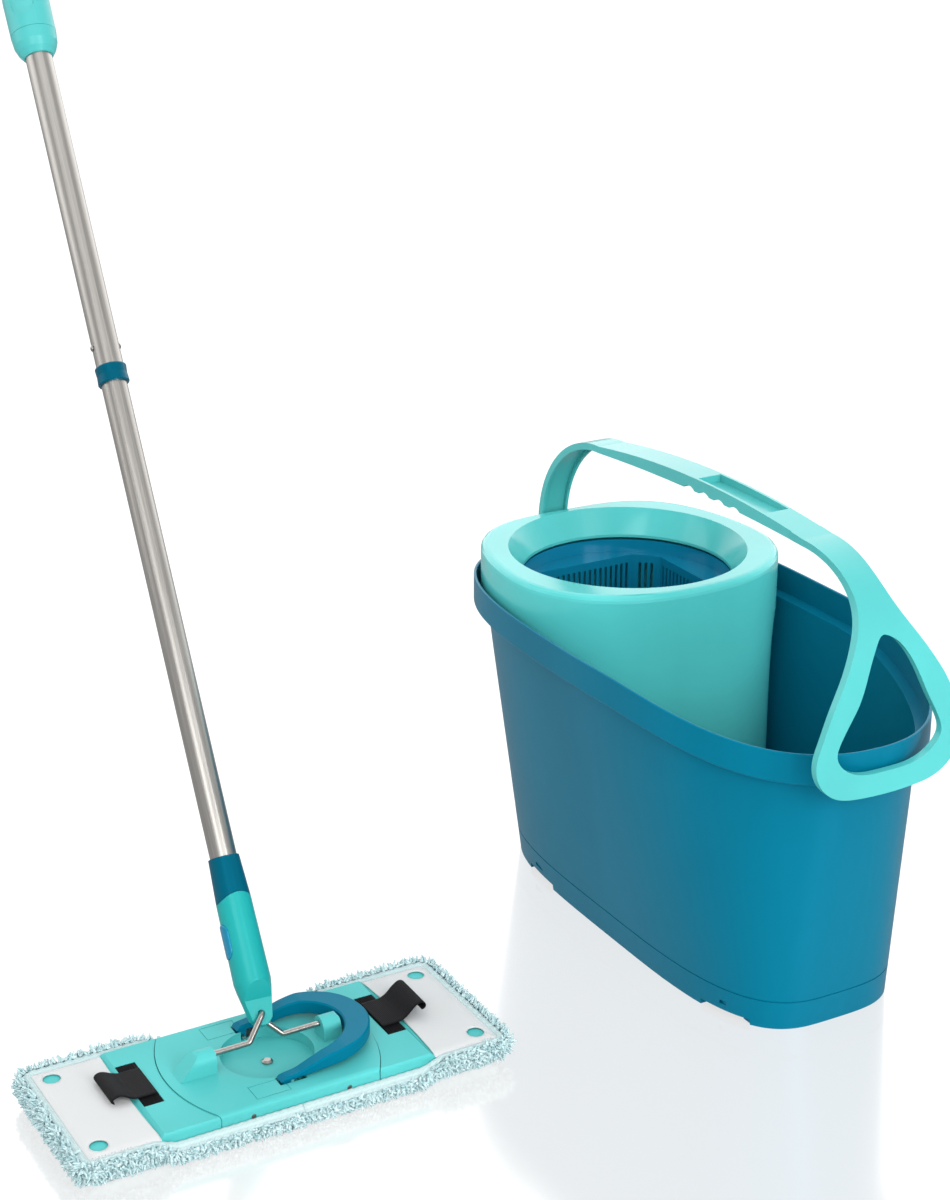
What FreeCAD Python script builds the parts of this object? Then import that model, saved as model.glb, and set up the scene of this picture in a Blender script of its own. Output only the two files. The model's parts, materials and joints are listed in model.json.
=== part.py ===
"""Spin mop: oval bucket with a spinner basket, and a folding flat mop with a twist-drive pole.

Frame: millimetres, +Z up, origin on the floor under the middle of the bucket.
+X runs along the bucket to its pouring end, the spinner sits at -X,
and the mop stands beside the bucket at -Y with its head lengthwise along Y.
"""
import FreeCAD, Part
import Sketcher
import math
import os

from FreeCAD import Placement, Rotation, Vector

SIZES = [
    # bucket
    ("bucket_half_length", 238.5, "middle of the bucket to the outside of its rim, lengthwise"),
    ("bucket_half_width", 137, "middle of the bucket to the outside of its rim, sideways"),
    ("base_half_length", 205, "middle to end of the foot outline"),
    ("base_half_width", 89, "middle to side of the foot outline"),
    ("rim_height", 272, "floor to the top of the rim beside the spinner"),
    ("pour_drop", 22, "how much lower the rim is at the pouring end"),
    ("ramp_start", 34, "where the rim begins to fall towards the pouring end"),
    ("ramp_end", 222, "where the rim is level again"),
    ("rim_overhang", 8, "how far the collar under the rim steps out from the wall"),
    ("collar_height", 26, "height of the stepped-out collar"),
    ("collar_skin", 2.6, "thickness of the collar and its step"),
    ("bucket_wall", 2.6, "thickness of the bucket's wall"),
    ("bucket_floor", 3, "thickness of the bucket's floor"),
    ("foot_ring", 6, "floor to the underside of the bucket's own floor"),
    ("foot_pad_radius", 16, "radius of the round pad under the middle of the bucket"),
    ("foot_line_height", 25, "floor to the fine groove round the foot"),
    ("roller_notch_length", 46, "length of each relief for a clip-on roller"),
    ("roller_notch_height", 5, "height of each relief"),
    ("roller_notch_place", 157, "middle of the bucket to a relief at the pouring end"),
    ("spinner_notch_place", 112, "middle of the bucket to a relief at the spinner's end"),
    # spinner housing
    ("spinner_offset", 117, "middle of the bucket to the spinner's axis"),
    ("housing_half_length", 117, "spinner's axis to the end of the housing"),
    ("housing_half_width", 129, "spinner's axis to the side of the housing"),
    ("housing_rise", 28, "rim to the top of the housing's ring"),
    ("housing_wall", 2.6, "thickness of the housing"),
    ("housing_bottom", 56, "floor to the underside of the housing"),
    ("housing_taper", -4, "how far the housing draws in towards its bottom, where the bucket leaves it room"),
    ("funnel_radius", 103.5, "radius of the funnel's top edge"),
    ("funnel_depth", 22, "drop of the funnel"),
    ("mouth_radius", 91, "radius of the hole above the basket"),
    ("ring_gap", 3.6, "clearance between the housing and the bucket's collar"),
    ("housing_rounding", 6, "radius of the housing's upper edge"),
    ("boss_radius", 14, "radius of the boss that carries the basket's axle"),
    ("housing_gap", 1.2, "clearance between housing and bucket"),
    # basket
    ("basket_gap", 2.5, "running gap between basket and funnel"),
    ("basket_ring_radius", 94, "outside of the basket's upper ring"),
    ("basket_ring_height", 14, "height of the upper ring"),
    ("basket_radius", 87, "outside of the slotted wall"),
    ("basket_flat", 71, "axis to the outside of each flat pressing face"),
    ("basket_wall", 2.4, "thickness of the basket"),
    ("basket_floor_height", 70, "floor to the underside of the basket"),
    ("slot_width", 2.6, "width of a drain slot"),
    ("slot_pitch", 5.6, "spacing of the drain slots"),
    ("axle_radius", 4, "radius of the basket's axle"),
    ("bush_wall", 2, "wall of the basket's bush"),
    ("hub_radius", 10, "radius of the basket's hub"),
    # bucket handle
    ("handle_gap", 0.8, "clearance between rim and handle"),
    ("handle_thickness", 6, "thickness of the handle's arms"),
    ("handle_skin", 2.6, "thickness of the walls where the handle is an open channel"),
    ("handle_half_width", 13.5, "half the width of the handle's bar"),
    ("handle_rise", 168, "pivots to the top of the handle at its shoulders"),
    ("handle_crown", 6, "how much the bar rises between its shoulders"),
    ("handle_shoulder", 100, "radius of the shoulders"),
    ("grip_thickness", 11, "height of the handle's bar in its middle"),
    ("loop_half_width", 68, "half the width of the pouring loop"),
    ("loop_opening_half_width", 49, "half the width of the loop's opening"),
    ("loop_bar_height", 20, "height of the bar that closes the loop"),
    ("pivot_drop", 50, "rim to the handle's pivots"),
    ("pivot_radius", 5, "radius of the handle's pivot pins"),
    # mop head
    ("mop_x", 69, "place of the mop head along the bucket"),
    ("mop_y", -437, "place of the mop head beside the bucket"),
    ("plate_half_length", 165, "half the length of the mop plate"),
    ("plate_half_width", 62, "half the width of the mop plate"),
    ("plate_bottom", 10, "floor to the underside of the plate"),
    ("plate_top", 28, "floor to the top of the middle body"),
    ("plate_rounding", 4, "rounding of the plate's long upper edges"),
    ("pad_groove", 0.7, "width of the groove round each pad beside the pedal"),
    ("plate_skin", 2.6, "thickness of the moulded skins"),
    ("seam_half_length", 64, "middle to the seam at the plate's edge"),
    ("seam_bulge", 18, "how much further the seam bows out in the middle"),
    ("seam_gap", 0.6, "gap between the middle body and a wing"),
    ("fold_offset", 39, "middle to each folding axis"),
    ("fold_height", 19.5, "floor to the folding axes"),
    ("fold_pin_radius", 2, "radius of the folding pins"),
    ("knuckle_radius", 4.6, "radius of the wings' knuckles"),
    ("recess_radius", 36, "radius of the round recess"),
    ("recess_floor", 19, "floor to the bottom of the recess"),
    ("wire_height", 40, "floor to the axis of the wire yoke"),
    ("wire_radius", 2.2, "radius of the wire"),
    ("lug_inner", 44, "middle to the inner face of each bearing lug"),
    ("lug_outer", 70, "middle to the outer end of each bearing lug"),
    ("lug_half_width", 8.5, "half the width of a bearing lug"),
    ("apex_rise", 19, "wire axis to the middle of the socket's eye"),
    ("bend_half_length", 16.5, "middle to the wire's lower bends"),
    ("pedal_rail", 41, "middle line of the pedal's rails, from the middle"),
    ("pedal_width", 12, "width of the pedal's bow"),
    ("pedal_bow_centre", 36, "middle to the centre of the pedal's bow"),
    ("pedal_thickness", 10, "height of the pedal's bow"),
    # cover
    ("pile_height", 9.7, "floor to the underside of the plate, through the pile"),
    ("pile_side_height", 17, "floor to the top of the fringe"),
    ("fringe", 11, "how far the fringe stands out round the plate"),
    ("pocket_start", 111, "middle to the edge of each cover pocket"),
    ("pocket_skin", 0.9, "thickness of the pocket's cloth"),
    ("tab_thickness", 1.4, "thickness of a pull tab"),
    ("tab_half_width", 19, "half the width of a pull tab"),
    # pole
    ("eye_gap", 0.4, "clearance of the wire in the socket's eye"),
    ("pole_lean", 36, "degrees that the pole leans from upright, away from the head"),
    ("pole_swing", 2.7, "degrees that the pole leans along the head"),
    ("eye_half_thickness", 4.5, "half the thickness of the socket's eye"),
    ("eye_radius", 10, "outer radius of the socket's eye"),
    ("socket_radius", 14.5, "largest radius of the socket"),
    ("socket_belly", 25, "eye to the widest place of the socket"),
    ("socket_top", 87, "eye to the wavy joint"),
    ("joint_radius", 13.8, "outer radius at the wavy joint"),
    ("joint_wave", 6, "rise of the wavy joint"),
    ("connector_top", 122, "eye to the top of the connector"),
    ("connector_radius", 12.1, "outer radius at the connector's top"),
    ("spigot_radius", 10, "radius of the connector's spigot"),
    ("button_place", 58, "eye to the middle of the button"),
    ("button_half_length", 13.5, "half the length of the button"),
    ("button_half_width", 7, "half the width of the button"),
    ("lower_tube_radius", 10.5, "outer radius of the lower tube"),
    ("upper_tube_radius", 11.1, "outer radius of the upper tube"),
    ("tube_wall", 0.5, "thickness of both tubes"),
    ("tube_gap", 0.1, "radial gap between the telescoping tubes"),
    ("lower_tube_start", 95, "eye to the lower end of the lower tube"),
    ("lower_tube_end", 612, "eye to the upper end of the lower tube"),
    ("tube_step", 2, "lock ring's lower edge to the lower end of the upper tube"),
    ("tube_in_grip", 94, "how far the upper tube reaches into the grip"),
    ("collar_start", 514, "eye to the lower edge of the lock ring"),
    ("collar_length", 15, "length of the lock ring"),
    ("collar_wall", 1.6, "thickness of the lock ring"),
    ("rivet_place", 546, "eye to the rivets"),
    ("hub_length", 42, "length of the hub that holds the drive bar"),
    ("nut_depth", 20, "lower tube's top to the seat of the drive nut"),
    ("bar_width", 9, "width of the twisted drive bar"),
    ("bar_thickness", 3, "thickness of the twisted drive bar"),
    ("bar_lead", 120, "length of one turn of the drive bar"),
    ("nut_length", 12, "length of the drive nut"),
    ("nut_radius", 8.2, "radius of the drive nut"),
    ("grip_start", 806, "eye to the lower end of the grip"),
    ("grip_collar_length", 21, "length of the grip's collar, up to the seam"),
    ("grip_length", 103, "seam to the top of the grip"),
    ("grip_radius", 19, "radius of the grip"),
    ("running_gap", 0.3, "clearance between parts that move on each other"),
    ("pin_gap", 0.06, "radial clearance of a pin that turns in its bore"),
]

# Shape numbers of the plan outlines: 2 is an ellipse, larger is squarer.
POUR_ROUNDNESS = 2.15
SPINNER_SQUARENESS = 3.3
BASE_SQUARENESS = 3.6
HOUSING_SQUARENESS = 3.0
HOUSING_ROUNDNESS = 2.3
OUTLINE_POINTS = 48
# How tightly the housing keeps inside the bucket where the two outlines cross.
HOLD = 40
# Tall walls are made of this many bands, one above the other.
BANDS = 5

document = FreeCAD.newDocument("spin_mop")
sheet = document.addObject("Spreadsheet::Sheet", "Sizes")
for row, (alias, value, meaning) in enumerate(SIZES, start=1):
    sheet.set("A%d" % row, meaning)
    sheet.set("B%d" % row, str(value))
    sheet.setAlias("B%d" % row, alias)
document.recompute()


class Size:
    """A length as a number, together with the spreadsheet expression that gives it."""

    def __init__(self, value, text):
        self.value = float(value)
        self.text = text

    def _join(self, other, sign, swapped=False):
        if not isinstance(other, Size):
            other = Size(other, repr(float(other)))
        first, second = (other, self) if swapped else (self, other)
        results = {
            "+": lambda: first.value + second.value,
            "-": lambda: first.value - second.value,
            "*": lambda: first.value * second.value,
            "/": lambda: first.value / second.value,
        }
        return Size(results[sign](), "(%s %s %s)" % (first.text, sign, second.text))

    def __add__(self, other):
        return self._join(other, "+")

    __radd__ = __add__

    def __sub__(self, other):
        return self._join(other, "-")

    def __rsub__(self, other):
        return self._join(other, "-", swapped=True)

    def __mul__(self, other):
        return self._join(other, "*")

    __rmul__ = __mul__

    def __truediv__(self, other):
        return self._join(other, "/")

    def __neg__(self):
        return Size(-self.value, "(-1 * %s)" % self.text)

    def __float__(self):
        return self.value


def size(alias):
    return Size(float(sheet.get(alias)), "Sizes." + alias)


def mm(alias):
    """The plain number in the sheet, for shapes made in code."""
    return float(sheet.get(alias))


finished = []


# Places that follow from several sizes.
housing_top = size("rim_height") + size("housing_rise")
pivot = size("rim_height") - size("pivot_drop")
handle_top = pivot + size("handle_rise")
upper_tube_start = size("collar_start") + size("tube_step")
upper_tube_end = size("grip_start") + size("tube_in_grip")
hub_start = upper_tube_end - size("hub_length")
nut_place = size("lower_tube_end") - size("nut_depth")
grip_seam = size("grip_start") + size("grip_collar_length")
grip_end = grip_seam + size("grip_length")


def finish(label, thing, placement=None):
    """Name a finished sub-part and keep it for export."""
    thing.Label = label
    if placement is not None:
        thing.Placement = placement
    finished.append(thing)
    return thing


def bind(thing, **values):
    """Tie properties of a document object to the sheet."""
    for name, value in values.items():
        path = name.replace("__", ".")
        if isinstance(value, Size):
            thing.setExpression(path, value.text)
        else:
            setattr(thing, name, value)
    return thing


def place(thing, x=0, y=0, z=0, rotation=None):
    """Set where a primitive stands, tied to the sheet where a Size is given."""
    thing.Placement = Placement(Vector(float(x), float(y), float(z)), rotation or Rotation())
    for axis, value in (("x", x), ("y", y), ("z", z)):
        if isinstance(value, Size):
            thing.setExpression("Placement.Base." + axis, value.text)
    return thing


def cylinder(name, radius, height, x=0, y=0, z=0, rotation=None):
    thing = document.addObject("Part::Cylinder", name)
    bind(thing, Radius=radius, Height=height)
    return place(thing, x, y, z, rotation)


def box(name, length, width, height, x=0, y=0, z=0, rotation=None):
    thing = document.addObject("Part::Box", name)
    bind(thing, Length=length, Width=width, Height=height)
    return place(thing, x, y, z, rotation)


def cut(name, base, tool):
    thing = document.addObject("Part::Cut", name)
    thing.Base, thing.Tool = base, tool
    return thing


def fuse(name, *shapes):
    thing = document.addObject("Part::MultiFuse", name)
    thing.Shapes = list(shapes)
    return thing


def common(name, first, second):
    thing = document.addObject("Part::MultiCommon", name)
    thing.Shapes = [first, second]
    return thing


def feature(name, shape):
    """A shape made in code, as an object of the document."""
    thing = document.addObject("Part::Feature", name)
    thing.Shape = shape
    return thing


def origin_plane(body, role):
    return next(item for item in body.Origin.OriginFeatures if item.Role == role)


def profile_sketch(body, name, role, vertices):
    """A closed polygon on an origin plane, every vertex tied to the sheet."""
    sketch = body.newObject("Sketcher::SketchObject", name)
    sketch.AttachmentSupport = [(origin_plane(body, role), "")]
    sketch.MapMode = "FlatFace"
    points = [Vector(float(x), float(y), 0) for x, y in vertices]
    count = len(points)
    for index in range(count):
        sketch.addGeometry(Part.LineSegment(points[index], points[(index + 1) % count]), False)
    for index in range(count):
        sketch.addConstraint(Sketcher.Constraint("Coincident", index, 2, (index + 1) % count, 1))
    for index, (x, y) in enumerate(vertices):
        for kind, value, axis in (("DistanceX", x, -2), ("DistanceY", y, -1)):
            if float(value) == 0:
                sketch.addConstraint(Sketcher.Constraint("PointOnObject", index, 1, axis))
                continue
            number = sketch.addConstraint(
                Sketcher.Constraint(kind, -1, 1, index, 1, float(value)))
            if isinstance(value, Size):
                sketch.setExpression("Constraints[%d]" % number, value.text)
    return sketch


def turned(name, vertices):
    """A body turned about its Z axis from a profile of (radius, height) vertices."""
    body = document.addObject("PartDesign::Body", name)
    sketch = profile_sketch(body, name + "_profile", "XZ_Plane", vertices)
    turn = body.newObject("PartDesign::Revolution", name + "_turn")
    turn.Profile = sketch
    turn.ReferenceAxis = (sketch, ["V_Axis"])
    turn.Angle = 360
    return body


def padded(name, role, vertices, height, both_sides=False):
    """A body pushed out from a polygon of vertices."""
    body = document.addObject("PartDesign::Body", name)
    sketch = profile_sketch(body, name + "_profile", role, vertices)
    pad = body.newObject("PartDesign::Pad", name + "_pad")
    pad.Profile = sketch
    pad.Midplane = both_sides
    bind(pad, Length=height)
    return body


# ---------------------------------------------------------------- outlines

def oval(half_length, half_width, power_pos, power_neg, z):
    """Points round an oval whose two ends differ in squareness."""
    points = []
    for index in range(OUTLINE_POINTS):
        angle = 2 * math.pi * index / OUTLINE_POINTS
        c, s = math.cos(angle), math.sin(angle)
        power = power_pos if c >= 0 else power_neg
        x = math.copysign(abs(c) ** (2 / power) * half_length, c)
        y = math.copysign(abs(s) ** (2 / power) * half_width, s)
        points.append(Vector(x, y, z))
    return points


def spacing(points):
    """Curve parameters in step with the distances between the points."""
    parameters = [0.0]
    for index, point in enumerate(points):
        parameters.append(parameters[-1] + point.distanceToPoint(points[(index + 1) % len(points)]))
    return parameters


def closed_curve(points, parameters):
    curve = Part.BSplineCurve()
    curve.interpolate(Points=points, PeriodicFlag=True, Parameters=parameters)
    return curve


def stacked(rings):
    """A solid whose skin runs straight from each outline to the next, closed flat at both ends."""
    parameters = spacing([sum((ring[i] for ring in rings), Vector()) * (1 / len(rings))
                          for i in range(len(rings[0]))])
    wires = [Part.Wire(closed_curve(ring, parameters).toShape()) for ring in rings]
    return Part.makeLoft(wires, True, True)


def between(first, last):
    """Outlines at even steps from one to another, both ends left out."""
    return [[a + (b - a) * (step / BANDS) for a, b in zip(first, last)] for step in range(1, BANDS)]


def wall_outline(z, inset):
    """The bucket's wall outline at a height, drawn in by an inset."""
    share = z / mm("rim_height")
    top_length = mm("bucket_half_length") - mm("rim_overhang")
    top_width = mm("bucket_half_width") - mm("rim_overhang")
    bottom = oval(mm("base_half_length") - inset, mm("base_half_width") - inset,
                  BASE_SQUARENESS, BASE_SQUARENESS, 0)
    top = oval(top_length - inset, top_width - inset,
               POUR_ROUNDNESS, SPINNER_SQUARENESS, mm("rim_height"))
    return [a + (b - a) * share for a, b in zip(bottom, top)]


def rim_line(x):
    """Height of the rim at a place along the bucket."""
    high, low = mm("rim_height"), (mm("rim_height") - mm("pour_drop"))
    part = (x - mm("ramp_start")) / (mm("ramp_end") - mm("ramp_start"))
    part = min(max(part, 0.0), 1.0)
    return high - (high - low) * part * part * (3 - 2 * part)


def rim_path(inset=0.0, drop=0.0):
    """The line where the wall would meet the rim, lowered by a drop along the wall."""
    bottom, top = wall_outline(0, inset), wall_outline(mm("rim_height"), inset)
    points = []
    for a, b in zip(bottom, top):
        z = mm("rim_height")
        for _ in range(12):
            z = rim_line((a + (b - a) * (z / mm("rim_height"))).x)
        points.append(a + (b - a) * ((z - drop) / mm("rim_height")))
    return points


def beside(points, outward, lift):
    """A line of points moved outward in plan and up."""
    curve = closed_curve(points, spacing(points))
    moved = []
    for point, parameter in zip(points, spacing(points)):
        along = curve.tangent(parameter)[0]
        normal = Vector(along.y, -along.x, 0).normalize()
        moved.append(point + normal * outward + Vector(0, 0, lift))
    return moved


def rounding(centre_out, centre_up, radius, start, steps=3):
    """Section points of a quarter turn, as (outward, up) pairs."""
    pairs = []
    for index in range(steps + 1):
        angle = math.radians(start + 90 * index / steps)
        pairs.append((centre_out + radius * math.cos(angle), centre_up + radius * math.sin(angle)))
    return pairs


# ---------------------------------------------------------------- bucket

def bucket_shape():
    out, skin, tall = mm("rim_overhang"), mm("collar_skin"), mm("collar_height")
    wall, line = mm("bucket_wall"), mm("foot_line_height")
    curl, corner = skin * 0.45, 2.0
    path = rim_path()
    section = rounding(out - corner, corner - tall, corner, -90)
    section += rounding(out - curl, -curl, curl, 0)
    section += rounding(out - skin + curl, -curl, curl, 90)
    section += [(out - skin, skin - tall)]
    rings = [wall_outline(0, 0)]
    rings += [wall_outline(z, inset) for z, inset in (
        (line - 0.6, 0), (line - 0.6, 0.7), (line + 0.6, 0.7), (line + 0.6, 0))]
    rings += between(rings[-1], rim_path(0, tall))
    rings += [rim_path(0, tall)]
    rings += [beside(path, n, z) for n, z in section]
    inner = [rim_path(wall, tall - skin), wall_outline(mm("foot_ring") + mm("bucket_floor"), wall)]
    rings += [inner[0]] + between(*inner) + [inner[1]]
    solid = stacked(rings)
    foot_inset = wall + 3
    solid = solid.cut(stacked([wall_outline(-1, foot_inset),
                               wall_outline(mm("foot_ring"), foot_inset)]))
    solid = solid.fuse(Part.makeCylinder(mm("foot_pad_radius"), mm("foot_ring") + 0.5))
    core = stacked([wall_outline(150, wall / 2), wall_outline(260, wall / 2)])
    tools = []
    for side in (-1, 1):
        boss = Part.makeCylinder(
            mm("pivot_radius") + 5, 22,
            Vector(side * (mm("bucket_half_length") - 22), 0, float(pivot)),
            Vector(side, 0, 0))
        solid = solid.fuse(boss.cut(core))
        tools.append(Part.makeCylinder(
            mm("pivot_radius") + mm("pin_gap"), 20,
            Vector(side * (mm("bucket_half_length") - 9.5), 0, float(pivot)),
            Vector(side, 0, 0)))
    length, tall_notch = mm("roller_notch_length"), mm("roller_notch_height")
    for x in (-mm("spinner_notch_place"), mm("roller_notch_place")):
        for y in (-1, 1):
            edge = y * wall_width_at(x, tall_notch)
            tools.append(Part.makeBox(length, 24, tall_notch + 1,
                                      Vector(x - length / 2, edge - 12, -1)))
            tools.append(Part.makeBox(18, 2.4, 3.4, Vector(x - 9, edge - 1.2, tall_notch + 5)))
    return solid.cut(tools)


def wall_width_at(x, z):
    """Half the outside width of the bucket's wall at a place and height."""
    row = wall_outline(z, 0)
    curve = closed_curve(row, spacing(row))
    first, last = curve.FirstParameter, curve.LastParameter
    spots = [curve.value(first + (last - first) * i / 720) for i in range(720)]
    return abs(min(spots, key=lambda spot: abs(spot.x - x)).y)


# ---------------------------------------------------------------- spinner housing

def reach_to(fence, centre_x, angle):
    """Distance from the spinner's axis to an outline in one direction."""
    dx, dy = math.cos(angle), math.sin(angle)
    best = 0.0
    for index, a in enumerate(fence):
        b = fence[(index + 1) % len(fence)]
        ex, ey = b.x - a.x, b.y - a.y
        across = dx * ey - dy * ex
        if abs(across) < 1e-9:
            continue
        ax, ay = a.x - centre_x, a.y
        reach = (ax * ey - ay * ex) / across
        part = (ax * dy - ay * dx) / across
        if reach > 0 and -1e-9 <= part <= 1 + 1e-9:
            best = max(best, reach)
    return best


def housing_outline(z, level, fence_inset, inset):
    """The housing's oval, held inside the bucket's outline at a level."""
    centre = -mm("spinner_offset")
    draw_in = mm("housing_taper") * max(0.0, 1 - level / (mm("rim_height") - mm("collar_height")))
    long_reach = mm("housing_half_length") - draw_in
    wide_reach = mm("housing_half_width") - draw_in
    fence = wall_outline(level, fence_inset)
    curve = closed_curve(fence, spacing(fence))
    first, last = curve.FirstParameter, curve.LastParameter
    fence = [curve.value(first + (last - first) * i / 360) for i in range(360)]
    points = []
    for index in range(OUTLINE_POINTS):
        angle = 2 * math.pi * index / OUTLINE_POINTS
        c, s = math.cos(angle), math.sin(angle)
        power = HOUSING_ROUNDNESS if c >= 0 else HOUSING_SQUARENESS
        reach = (abs(c / long_reach) ** power + abs(s / wide_reach) ** power) ** (-1 / power)
        wall = reach_to(fence, centre, angle)
        both = (reach ** -HOLD + wall ** -HOLD) ** (-1 / HOLD) - inset
        points.append(Vector(centre + both * c, both * s, z))
    return points


def round_outline(radius, z):
    """A circle round the spinner's axis, with points that pair with the housing's."""
    centre = -mm("spinner_offset")
    turns = [2 * math.pi * i / OUTLINE_POINTS for i in range(OUTLINE_POINTS)]
    return [Vector(centre + radius * math.cos(a), radius * math.sin(a), z) for a in turns]


def housing_shape():
    shoulder = mm("rim_height") - mm("collar_height") + mm("collar_skin") + mm("running_gap")
    top, skin, low = float(housing_top), mm("housing_wall"), mm("housing_bottom")
    inside = mm("bucket_wall") + 0.6 + mm("housing_gap")
    outside = mm("ring_gap") + mm("collar_skin") - mm("rim_overhang")
    level, curve = mm("rim_height"), mm("housing_rounding")
    outer = [housing_outline(low, low, inside, 0), housing_outline(shoulder, shoulder, inside, 0)]
    rings = [outer[0]] + between(*outer) + [outer[1]]
    rings += [housing_outline(shoulder, level, outside, 0)]
    rings += [housing_outline(top + up, level, outside, curve - out)
              for out, up in rounding(0, -curve, curve, 0, 4)]
    lip = top - mm("funnel_depth")
    mouth, funnel = mm("mouth_radius"), mm("funnel_radius")
    rings += [round_outline(r, z) for r, z in (
        (funnel, top), (mouth, lip), (mouth, lip - skin), (funnel + 1, top - skin * 1.4))]
    rings += [housing_outline(top - skin * 1.4, level, outside, skin)]
    rings += [housing_outline(shoulder + skin, level, outside, skin)]
    inner = [housing_outline(shoulder + skin - 0.2, shoulder, inside, skin),
             housing_outline(low + skin, low, inside, skin)]
    rings += [inner[0]] + between(*inner) + [inner[1]]
    solid = stacked(rings)
    centre = Vector(-mm("spinner_offset"), 0, 0)
    boss = Part.makeCylinder(mm("boss_radius"), 12, centre + Vector(0, 0, low - 6))
    tools = [Part.makeCylinder(mm("axle_radius") + mm("bush_wall") + 0.1, 40,
                               centre + Vector(0, 0, low - 20))]
    for index in range(12):
        slot = Part.makeBox(34, 9, 12, Vector(34, -4.5, low - 3))
        slot.rotate(Vector(0, 0, 0), Vector(0, 0, 1), 30 * index)
        slot.translate(centre)
        tools.append(slot)
    return solid.fuse(boss).cut(tools)


finish("bucket", feature("Bucket", bucket_shape()))
finish("spinner_housing", feature("SpinnerHousing", housing_shape()))

# ---------------------------------------------------------------- spinner basket

ALONG_X = Rotation(Vector(0, 1, 0), 90)
ALONG_Y = Rotation(Vector(1, 0, 0), -90)
spin_x = size("spinner_offset") * -1
basket_low = size("basket_floor_height")
ring_top = housing_top - size("funnel_depth") - size("housing_wall") - size("basket_gap")
ring_low = ring_top - size("basket_ring_height")
basket_skin = size("basket_wall")


def drum(name, inset, low, high):
    """A round drum with four flat sides, drawn in by an inset."""
    flat = size("basket_flat") - inset
    height = high - low
    barrel = cylinder(name + "_barrel", size("basket_radius") - inset, height, spin_x, 0, low)
    block = box(name + "_block", flat * 2, flat * 2, height, spin_x - flat, flat * -1, low)
    return common(name, barrel, block)


def basket_slots():
    """One comb of slots through each flat and each rounded corner."""
    flat, reach = mm("basket_flat"), mm("basket_radius")
    pitch, width = mm("slot_pitch"), mm("slot_width")
    low, high = mm("basket_floor_height") + 24, float(ring_low) - 5
    half = math.sqrt(reach ** 2 - flat ** 2) - width - 2
    count = int(half // pitch)
    cuts = []
    for side in range(4):
        for index in range(-count, count + 1):
            slot = Part.makeBox(mm("basket_wall") * 3, width, high - low,
                                Vector(flat - mm("basket_wall") * 2, index * pitch - width / 2, low))
            slot.rotate(Vector(0, 0, 0), Vector(0, 0, 1), 90 * side)
            cuts.append(slot)
        for index in (-1, 0, 1):
            slot = Part.makeBox(mm("basket_wall") * 5, width, high - low,
                                Vector(reach - mm("basket_wall") * 3, -width / 2, low))
            slot.rotate(Vector(0, 0, 0), Vector(0, 0, 1),
                        45 + 90 * side + math.degrees(index * pitch / reach))
            cuts.append(slot)
    holes = Part.makeCompound(cuts)
    holes.translate(Vector(-mm("spinner_offset"), 0, 0))
    return holes


basket_outside = drum("BasketOutside", 0, basket_low, ring_low + basket_skin)
basket_inside = drum("BasketInside", basket_skin, basket_low + basket_skin, ring_top + 5)
basket_ring = cut(
    "BasketRing",
    cylinder("RingOutside", size("basket_ring_radius"), size("basket_ring_height"),
             spin_x, 0, ring_low),
    cylinder("RingInside", size("basket_ring_radius") - basket_skin,
             size("basket_ring_height"), spin_x, 0, ring_low + basket_skin))
basket_hub = cylinder("BasketHub", size("hub_radius"), 28, spin_x, 0, basket_low)
basket_shell = cut("BasketShell", fuse("BasketForm", basket_outside, basket_ring), basket_inside)
basket_bore = cylinder("BasketBore", size("axle_radius") + size("bush_wall") + 0.08, 60,
                       spin_x, 0, basket_low - 20)
basket_cuts = fuse("BasketCuts", feature("BasketSlots", basket_slots()), basket_bore)
finish("spin_basket", cut("SpinBasket", fuse("BasketWithHub", basket_shell, basket_hub), basket_cuts))

bush_low = basket_low + 1
finish("basket_bushing", cut(
    "BasketBushing",
    cylinder("BushOutside", size("axle_radius") + size("bush_wall"), 26, spin_x, 0, bush_low),
    cylinder("BushInside", size("axle_radius") + size("pin_gap"), 40, spin_x, 0, bush_low - 5)))
axle_low = size("housing_bottom") - 6
axle_radius = size("axle_radius")
clip_z = basket_low + 28.3
finish("basket_axle", turned("BasketAxle", [
    (0, axle_low), (axle_radius + size("bush_wall") + 3, axle_low - 2.3),
    (axle_radius + size("bush_wall") + 3, axle_low - 0.3),
    (axle_radius + size("bush_wall"), axle_low - 0.3),
    (axle_radius + size("bush_wall"), basket_low - 0.8),
    (axle_radius, basket_low - 0.8), (axle_radius, clip_z + 0.2),
    (axle_radius - 0.8, clip_z + 0.2), (axle_radius - 0.8, clip_z + 1.4),
    (axle_radius, clip_z + 1.4), (axle_radius, clip_z + 3), (0, clip_z + 4)]),
    Placement(Vector(float(spin_x), 0, 0), Rotation()))
clip = cut("ClipRing", cylinder("ClipOutside", 8, 1, spin_x, 0, clip_z + 0.3),
           cylinder("ClipInside", axle_radius - 0.7, 5, spin_x, 0, clip_z - 1))
clip_gap = box("ClipGap", 12, 3, 5, spin_x, -1.5, clip_z - 1)
finish("axle_clip", cut("AxleClip", clip, clip_gap))

# ---------------------------------------------------------------- bucket handle


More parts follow.
